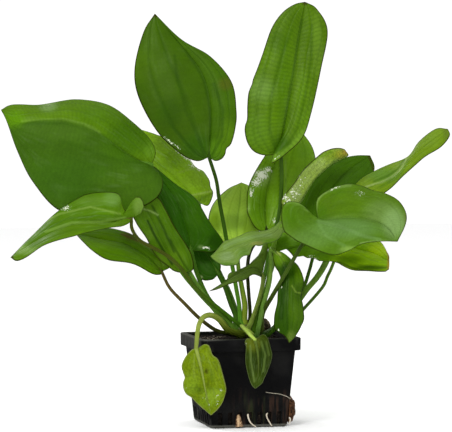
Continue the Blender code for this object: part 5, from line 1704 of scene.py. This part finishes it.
def makeScatterTree():
    # small angular crumbs and thin dry fibres, laid on the top of the soil
    tree, given, out = newTree("soilScatter", {
        "Density": 200000.0, "Size": 0.0008, "Spread": 0.6, "Flat": 0.6, "Length": 1.0,
        "Limit": 0.0385, "Level": 0.6, "Seed": 3, "Soil": None,
    })
    normal = tree.nodes.new("GeometryNodeInputNormal").outputs[0]
    place = tree.nodes.new("GeometryNodeInputPosition").outputs[0]
    upward = splitVector(tree, normal)[2]
    x, y, _ = splitVector(tree, place)
    farthest = most(tree, reckon(tree, "ABSOLUTE", x), reckon(tree, "ABSOLUTE", y))
    inside = reckon(tree, "LESS_THAN", farthest, given["Limit"])
    chosen = times(tree, reckon(tree, "GREATER_THAN", upward, given["Level"]), inside)
    points = addNode(tree, "GeometryNodeDistributePointsOnFaces", {
        "Mesh": given["Geometry"], "Selection": chosen, "Density": given["Density"], "Seed": given["Seed"],
    }, distribute_method="RANDOM")
    crumb = addNode(tree, "GeometryNodeMeshIcoSphere", {"Radius": 1.0, "Subdivisions": 1}).outputs[0]
    push = noisePush(tree, 1.7, 0.9)
    crumb = addNode(tree, "GeometryNodeSetPosition", {"Geometry": crumb, "Offset": push}).outputs[0]
    low = minus(tree, 1.0, given["Spread"])
    high = reckon(tree, "ADD", 1.0, given["Spread"])
    size = times(tree, randomValue(tree, low, high, 11), given["Size"])
    scale = vector3(tree, times(tree, size, given["Length"]), size, times(tree, size, given["Flat"]))
    turn = randomValue(tree, (-0.35, -0.35, 0.0), (0.35, 0.35, 6.28), 12, "FLOAT_VECTOR")
    laid = addNode(tree, "GeometryNodeInstanceOnPoints", {
        "Points": points.outputs[0], "Instance": crumb, "Rotation": turn, "Scale": scale,
    }).outputs[0]
    closeTree(tree, laid, given["Soil"], out)
    return tree


def scatterSoil(block):
    tree = makeScatterTree()
    area = (2 * soil["scatterHalf"] * mm) ** 2
    crumbs = soilMaterial("soilCrumbs", (20, 16, 13), (46, 35, 26), 0.8, 0.5)
    dry = soilMaterial("dryFibres", (62, 54, 42), (98, 86, 66), 0.8, 0.9)
    plans = {  # count, half size, flatness, length over size, seed, material
        "soilCrumbs": (1500, 0.85, 0.7, 1.0, 3, crumbs),
        "soilFibres": (70, 0.22, 0.6, 4.2 / 0.44, 8, dry),
        "soilChips": (26, 0.9, 0.25, 1.9, 21, dry),
    }
    for name, (count, size, flat, length, seed, material) in plans.items():
        piece = grow(name, block.data.copy(), tree, {
            "Density": count / area, "Size": size * mm, "Flat": flat, "Length": length, "Seed": seed,
            "Soil": material,
        })
        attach(piece, "root")
        print(name, len(piece.data.polygons), "faces")


soilBlock = buildSubstrate()
scatterSoil(soilBlock)
print("substrate built")


# Crown and the clay lump

def makeSheathPattern():
    # fibrous olive-brown sheaths round the crown
    tree, given, out = newGroup("sheathPattern", {
        "Green": (0.1, 0.2, 0.04, 1), "Brown": (0.1, 0.06, 0.03, 1), "Brown share": 0.5,
    })
    strand = grain(tree, 420, 3.0, stretch=(1, 1, 0.18))
    patch = slope(tree, grain(tree, 130, 3.0, seed=3.0), 0.4, 0.62)
    body = blendColour(tree, times(tree, patch, given["Brown share"]), given["Green"], given["Brown"])
    feed(tree, out["Color"], shadeBy(tree, body, spread(tree, strand, 0.6, 1.3)))
    feed(tree, out["Roughness"], spread(tree, strand, 0.45, 0.7))
    feed(tree, out["Height"], strand)
    return tree


crownLook = {
    "green": (86, 104, 34), "brown": (82, 66, 34), "brownShare": 0.6, "scales": 11,
    "sides": 72, "levels": 26, "highest": 82,  # how finely the dome is cut, and how far up it goes in degrees
}


def buildCrown():
    sheath = newMaterial("crownSheath", makeSheathPattern(), {
        "Green": paint(crownLook["green"]), "Brown": paint(crownLook["brown"]),
        "Brown share": crownLook["brownShare"],
    }, bump=0.0005, specular=0.25)
    rings = []
    sides, levels = crownLook["sides"], crownLook["levels"]
    for level in range(levels):
        up = crownLook["highest"] * level / (levels - 1)
        rings.append([])
        for index in range(sides):
            around = 360 * index / sides
            place = onCrown(around, up, 0)
            scale = 0.5 + 0.5 * math.cos(math.radians(around) * crownLook["scales"] + up * 0.03)
            lift = -0.7 + 0.5 * scale ** 2 + 0.5 * noise.noise(place * 0.35)
            rings[-1].append(plantTurn @ onCrown(around, up, lift))
    piece = meshObject("crownDome", *stackRings(rings), sheath)
    facesOut(piece.data)
    piece.data.shade_smooth()
    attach(piece, "root")
    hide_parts("crown")


buildCrown()
print("crown built")


clay = {
    "centre": (23.8, 17.5, 86.2), "size": (5.2, 4.2, 7.4),
    "dark": (50, 44, 30), "pale": (120, 108, 82), "dry": (170, 150, 128),
}


def clayPlace(corner):
    x, y, z = corner
    swell = 0.97 + 0.10 * math.sin(5 * x + 2 * z) + 0.08 * math.cos(6 * y - z)
    swell += 0.10 * noise.noise(corner * 2.6) + 0.05 * noise.noise(corner * 7)
    return plantTurn @ (Vector(clay["centre"]) + corner * Vector(clay["size"]) * swell)


def buildClayLump():
    skin = newMaterial("clay", soilPattern, {
        "Dark": paint(clay["dark"]), "Brown": paint(clay["pale"]), "Dry": paint(clay["dry"]),
        "Brown share": 0.8, "Dry share": 0.5,
    }, bump=0.0005, specular=0.2)
    piece = lumpObject("clayLump", clayPlace, skin)
    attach(piece, "root")
    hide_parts("clay_lump")


buildClayLump()
print("clay lump built")


# Roots

def makeStrandTree():
    # round strands along the edges of the guide mesh, as thick as its "thick" attribute
    tree, given, out = newTree("rootStrands", {
        "Sides": 8, "Step": 0.0006, "Wobble": 0.0003, "Wobble scale": 220.0, "Knots": 0.2, "Skin": None,
    })
    curve = addNode(tree, "GeometryNodeMeshToCurve", {"Mesh": given["Geometry"]}).outputs[0]
    evenly = {"Curve": curve, "Length": given["Step"]}
    curve = addNode(tree, "GeometryNodeResampleCurve", evenly, mode="LENGTH").outputs[0]
    swirl = noisePush(tree, given["Wobble scale"], given["Wobble"])
    curve = addNode(tree, "GeometryNodeSetPosition", {"Geometry": curve, "Offset": swirl}).outputs[0]
    share = tree.nodes.new("GeometryNodeSplineParameter").outputs["Factor"]
    named = {"Geometry": curve, "Name": "along", "Value": share}
    curve = addNode(tree, "GeometryNodeStoreNamedAttribute", named, data_type="FLOAT").outputs[0]
    thick = addNode(tree, "GeometryNodeInputNamedAttribute", {"Name": "thick"}, data_type="FLOAT").outputs[0]
    knots = addNode(tree, "ShaderNodeTexNoise", {"Scale": 700.0, "Detail": 1.0}).outputs[0]
    knots = timesPlus(tree, minus(tree, knots, 0.5), given["Knots"], 1.0)
    radius = times(tree, thick, knots)
    circle = {"Resolution": given["Sides"], "Radius": 1.0}
    profile = addNode(tree, "GeometryNodeCurvePrimitiveCircle", circle).outputs[0]
    sweep = addNode(tree, "GeometryNodeCurveToMesh", {
        "Curve": curve, "Profile Curve": profile, "Scale": radius, "Fill Caps": True,
    }).outputs[0]
    smooth = addNode(tree, "GeometryNodeSetShadeSmooth", {"Geometry": sweep}).outputs[0]
    closeTree(tree, smooth, given["Skin"], out)
    return tree


def makeRootPattern():
    # root skin, its colour from the strand's own tone
    tree, given, out = newGroup("rootPattern", {
        "Dark": (0.1, 0.06, 0.03, 1), "Pale": (0.6, 0.5, 0.4, 1), "Mottle": 0.4,
    })
    patch = slope(tree, grain(tree, 520, 3.0), 0.35, 0.65, -0.5, 0.5)
    share = timesPlus(tree, patch, given["Mottle"], meshValue(tree, "tone")["Fac"], clamp=True)
    body = blendColour(tree, share, given["Dark"], given["Pale"])
    fine = grain(tree, 1500, 2.0, seed=4.0)
    feed(tree, out["Color"], shadeBy(tree, body, spread(tree, fine, 0.8, 1.1)))
    feed(tree, out["Roughness"], spread(tree, fine, 0.5, 0.7))
    feed(tree, out["Height"], fine)
    return tree


rootPattern = makeRootPattern()
strandTree = makeStrandTree()


def rootMaterial(name, dark, pale, mottle):
    values = {"Dark": paint(dark), "Pale": paint(pale), "Mottle": mottle}
    return newMaterial(name, rootPattern, values, bump=0.00015, specular=0.25)


def growStrands(name, strands, skin, sides=8, step=0.6, wobble=0.3, knots=0.25):
    # strands are (points, start radius, end radius, tone) in millimetres, world axes
    points, edges, radii, tones = [], [], [], []
    for path, thick, thin, tone in strands:
        first = len(points)
        smooth = smoothPath(path, max(8, 3 * len(path)))
        for index, place in enumerate(smooth):
            points.append(tuple(place * mm))
            radii.append((thick + (thin - thick) * index / (len(smooth) - 1)) * mm)
            tones.append(tone)
        edges += [(first + index, first + index + 1) for index in range(len(smooth) - 1)]
    mesh = bpy.data.meshes.new(name)
    mesh.from_pydata(points, edges, [])
    for key, values in (("thick", radii), ("tone", tones)):
        attribute = mesh.attributes.new(key, "FLOAT", "POINT")
        attribute.data.foreach_set("value", values)
    return grow(name, mesh, strandTree, {
        "Sides": sides, "Step": step * mm, "Wobble": wobble * mm, "Knots": knots, "Skin": skin,
    })


litter = {
    "left": (11, -36, -20), "right": (5, 14, 34), "away": (-24, 14),  # count, and between which places
    "steps": 6, "stride": 2.4, "bend": 0.7, "lift": 0.5, "within": 36,
    "thick": (0.2, 0.12), "tone": (0.4, 1.0), "skin": ((92, 82, 66), (176, 164, 142), 0.3),
}


def layFibres():
    # pale curled fibres that lie on the soil, mostly on its left, in the plant's frame
    picked = random.Random(19)
    strands = []
    within, bend, lift = litter["within"], litter["bend"], litter["lift"]
    for count, start, end in (litter["left"], litter["right"]):
        for _ in range(count):
            x, y = picked.uniform(start, end), picked.uniform(*litter["away"])
            turn = picked.uniform(0, 2 * math.pi)
            path = []
            for step in range(litter["steps"]):
                spot = plantTurn @ Vector((x, y, 0))
                acrossPot, awayPot = (max(-within, min(within, value)) for value in spot.xy)
                path.append((acrossPot, awayPot, soilHeight(acrossPot, awayPot) + lift + lift * (step % 2)))
                turn += picked.uniform(-bend, bend)
                x, y = x + litter["stride"] * math.cos(turn), y + litter["stride"] * math.sin(turn)
            strands.append((path, *litter["thick"], picked.uniform(*litter["tone"])))
    skin = rootMaterial("dryStrand", *litter["skin"])
    piece = growStrands("soilStrands", strands, skin, sides=6, wobble=0.6)
    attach(piece, "root")


layFibres()


front = -pot["baseHalf"]
rootHairs = {
    "count": 3, "apart": 0.7, "behind": 0.5, "thick": (0.22, 0.12), "tone": (0.1, 0.6),
}
roots = {
    "broad": {
        "slot": -9.2, "path": [(-0.6, 4.6, 11.5), (-1.5, -1.2, 11.2), (-1.5, -2.6, 6.4), (-0.8, -3.2, 1.7)],
        "skin": ((78, 48, 26), (204, 172, 132), 0.5),
        "apart": 0.42, "tones": (0.15, 0.5, 1.1, 0.9, 0.55, 0.35, 0.45, 0.2, 0.05),  # fibres, left to right
    },
    "paleLeft": {
        "slot": 0.0, "path": [(-0.6, 4.6, 11.8), (-1.9, -1.4, 11.4), (-1.4, -2.4, 8.2), (0.2, -2.9, 4.8),
                              (2.6, -3.2, 2.4), (5.0, -3.4, 0.9)],
        "thick": (0.95, 0.5), "skin": ((140, 118, 86), (212, 202, 182), 0.35),
    },
    "paleRight": {
        "slot": 18.4, "path": [(-0.8, 4.6, 12), (-2.2, -0.4, 12.3), (-3.1, -1.8, 11), (-2.2, -2.6, 7.6),
                               (-0.2, -3.0, 4.0), (1.5, -3.3, 1.2)],
        "thick": (0.85, 0.5),
    },
    "thin": {"path": [(14.4, 32), (20, 31), (27, 30), (34, 27.6), (37.6, 25.2)], "thick": (0.3, 0.34),
             "skin": ((112, 104, 84), (172, 166, 148), 0.4)},
}


def buildRoots():
    pale = rootMaterial("rootPale", *roots["paleLeft"]["skin"])
    tan = rootMaterial("rootBroad", *roots["broad"]["skin"])
    thinSkin = rootMaterial("rootThin", *roots["thin"]["skin"])
    picked = random.Random(5)
    pieces = {}
    for name, skin in (("broad", tan), ("paleLeft", pale), ("paleRight", pale)):
        root = roots[name]
        path = [(root["slot"] + x, front + y, z) for x, y, z in root["path"]]
        if name == "broad":
            strands = []
            for index, tone in enumerate(root["tones"]):
                off = (index - len(root["tones"]) // 2) * root["apart"]
                shift = []
                for step, (x, y, z) in enumerate(path):
                    ragged = picked.uniform(0, 0.6) * (step == 3)
                    shift.append((x + off * (0.25 + 0.5 * step), y - 0.5 + abs(off) * 0.4, z - ragged))
                strands.append((shift, 0.36, picked.uniform(0.6, 0.9), tone))
        else:
            strands = [(path, *root["thick"], 0.85)]
            for _ in range(rootHairs["count"]):
                off = picked.uniform(-rootHairs["apart"], rootHairs["apart"])
                shift = [(x + off, y + rootHairs["behind"], z) for x, y, z in path[:3]]
                strands.append((shift, *rootHairs["thick"], picked.uniform(*rootHairs["tone"])))
        pieces[name] = growStrands("root" + name[0].upper() + name[1:], strands, skin, sides=10)
    thinPath = [(x, -wallHalf(z) - 0.9, z) for x, z in roots["thin"]["path"]]
    thinPath[-1] = (thinPath[-1][0], thinPath[-1][1] + 0.6, thinPath[-1][2])
    strand = (thinPath, *roots["thin"]["thick"], 0.85)
    pieces["thin"] = growStrands("rootThin", [strand], thinSkin, wobble=0.5)
    nodes = ("root_broad", "root_pale_left", "root_pale_right", "root_thin")
    for name, node in zip(("broad", "paleLeft", "paleRight", "thin"), nodes):
        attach(pieces[name], "root")
        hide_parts(node)


buildRoots()
print("roots built")


clump = {
    "y": -28.0, "z": 14.6, "size": (7.2, 8.0, 11.4),
    "core": 0.86, "coat": 0.93,  # size of the earth inside and of the fibres round it
    "strands": 150, "steps": 8, "thick": (0.16, 0.42), "round": 88, "lean": 0.35, "floor": 0.8,
    "paleTone": 0.95, "paleEvery": 23, "paleFirst": 4,  # which fibres are pale, and how pale
    "skin": ((38, 22, 12), (124, 82, 50), 0.5),
    "earth": ((28, 17, 10), (60, 38, 24), 0.8, 0.1), "whiteSkin": ((170, 150, 124), (206, 198, 184), 0.3),
    "whitePath": [(36.9, -37.5, 8.2), (37.6, -38.6, 6.4), (36.9, -38.9, 4.0), (36.2, -38.6, 2.4)],
}


def clumpPlace(corner, swell, clear):
    # a place on the clump, which bulges here and there and keeps clear of the pot's wall
    x, y, z = corner
    swell += 0.09 * math.sin(7 * y + 3 * z) + 0.07 * math.sin(9 * z - 4 * x)
    middle = Vector((wallHalf(clump["z"]), clump["y"], clump["z"]))
    place = middle + corner * Vector(clump["size"]) * swell
    place.x = max(place.x, wallHalf(place.z) + clear)
    return place


def corePlace(corner):
    x, y, z = corner
    return clumpPlace(corner, clump["core"] + 0.05 * noise.noise(Vector((x * 5, y * 5, z * 1.4))), 0.15)


def buildClump():
    picked = random.Random(11)
    skin = rootMaterial("clumpFibre", *clump["skin"])
    core = lumpObject("clumpCore", corePlace, soilMaterial("clumpCore", *clump["earth"]))
    strands = []
    for index in range(clump["strands"]):
        around = math.radians(picked.uniform(-clump["round"], clump["round"]))
        lean = picked.uniform(-clump["lean"], clump["lean"])
        start, end = picked.uniform(-0.05, 0.3), picked.uniform(0.7, 1.05)
        path = []
        for step in range(clump["steps"] + 1):
            share = start + (end - start) * step / clump["steps"]
            rise = math.cos(math.pi * share)
            reach = max(0.05, math.sin(math.pi * min(max(share, 0), 1))) ** 0.8
            turn = around + lean * (share - 0.5) * 2
            corner = Vector((math.cos(turn) * reach, math.sin(turn) * reach, rise))
            place = clumpPlace(corner, clump["coat"] + picked.uniform(-0.04, 0.05), 0.45)
            place.z = max(place.z, clump["floor"])
            path.append(tuple(place))
        thick = picked.uniform(*clump["thick"])
        pale = index % clump["paleEvery"] == clump["paleFirst"]
        tone = clump["paleTone"] if pale else picked.random() ** 1.4 * 0.8
        strands.append((path, thick, thick * picked.uniform(0.5, 0.9), tone))
    fibres = growStrands("clumpFibres", strands, skin, sides=5, step=0.9, wobble=1.1, knots=0.5)
    whiteSkin = rootMaterial("clumpWhite", *clump["whiteSkin"])
    white = growStrands("clumpWhiteRoot", [(clump["whitePath"], 0.75, 0.6, 0.9)], whiteSkin)
    for piece in (core, fibres, white):
        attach(piece, "root")
    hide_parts("root_clump")
    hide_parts("root_clump")
    print("clump fibres", len(fibres.data.polygons), "faces")


buildClump()
print("root clump built")
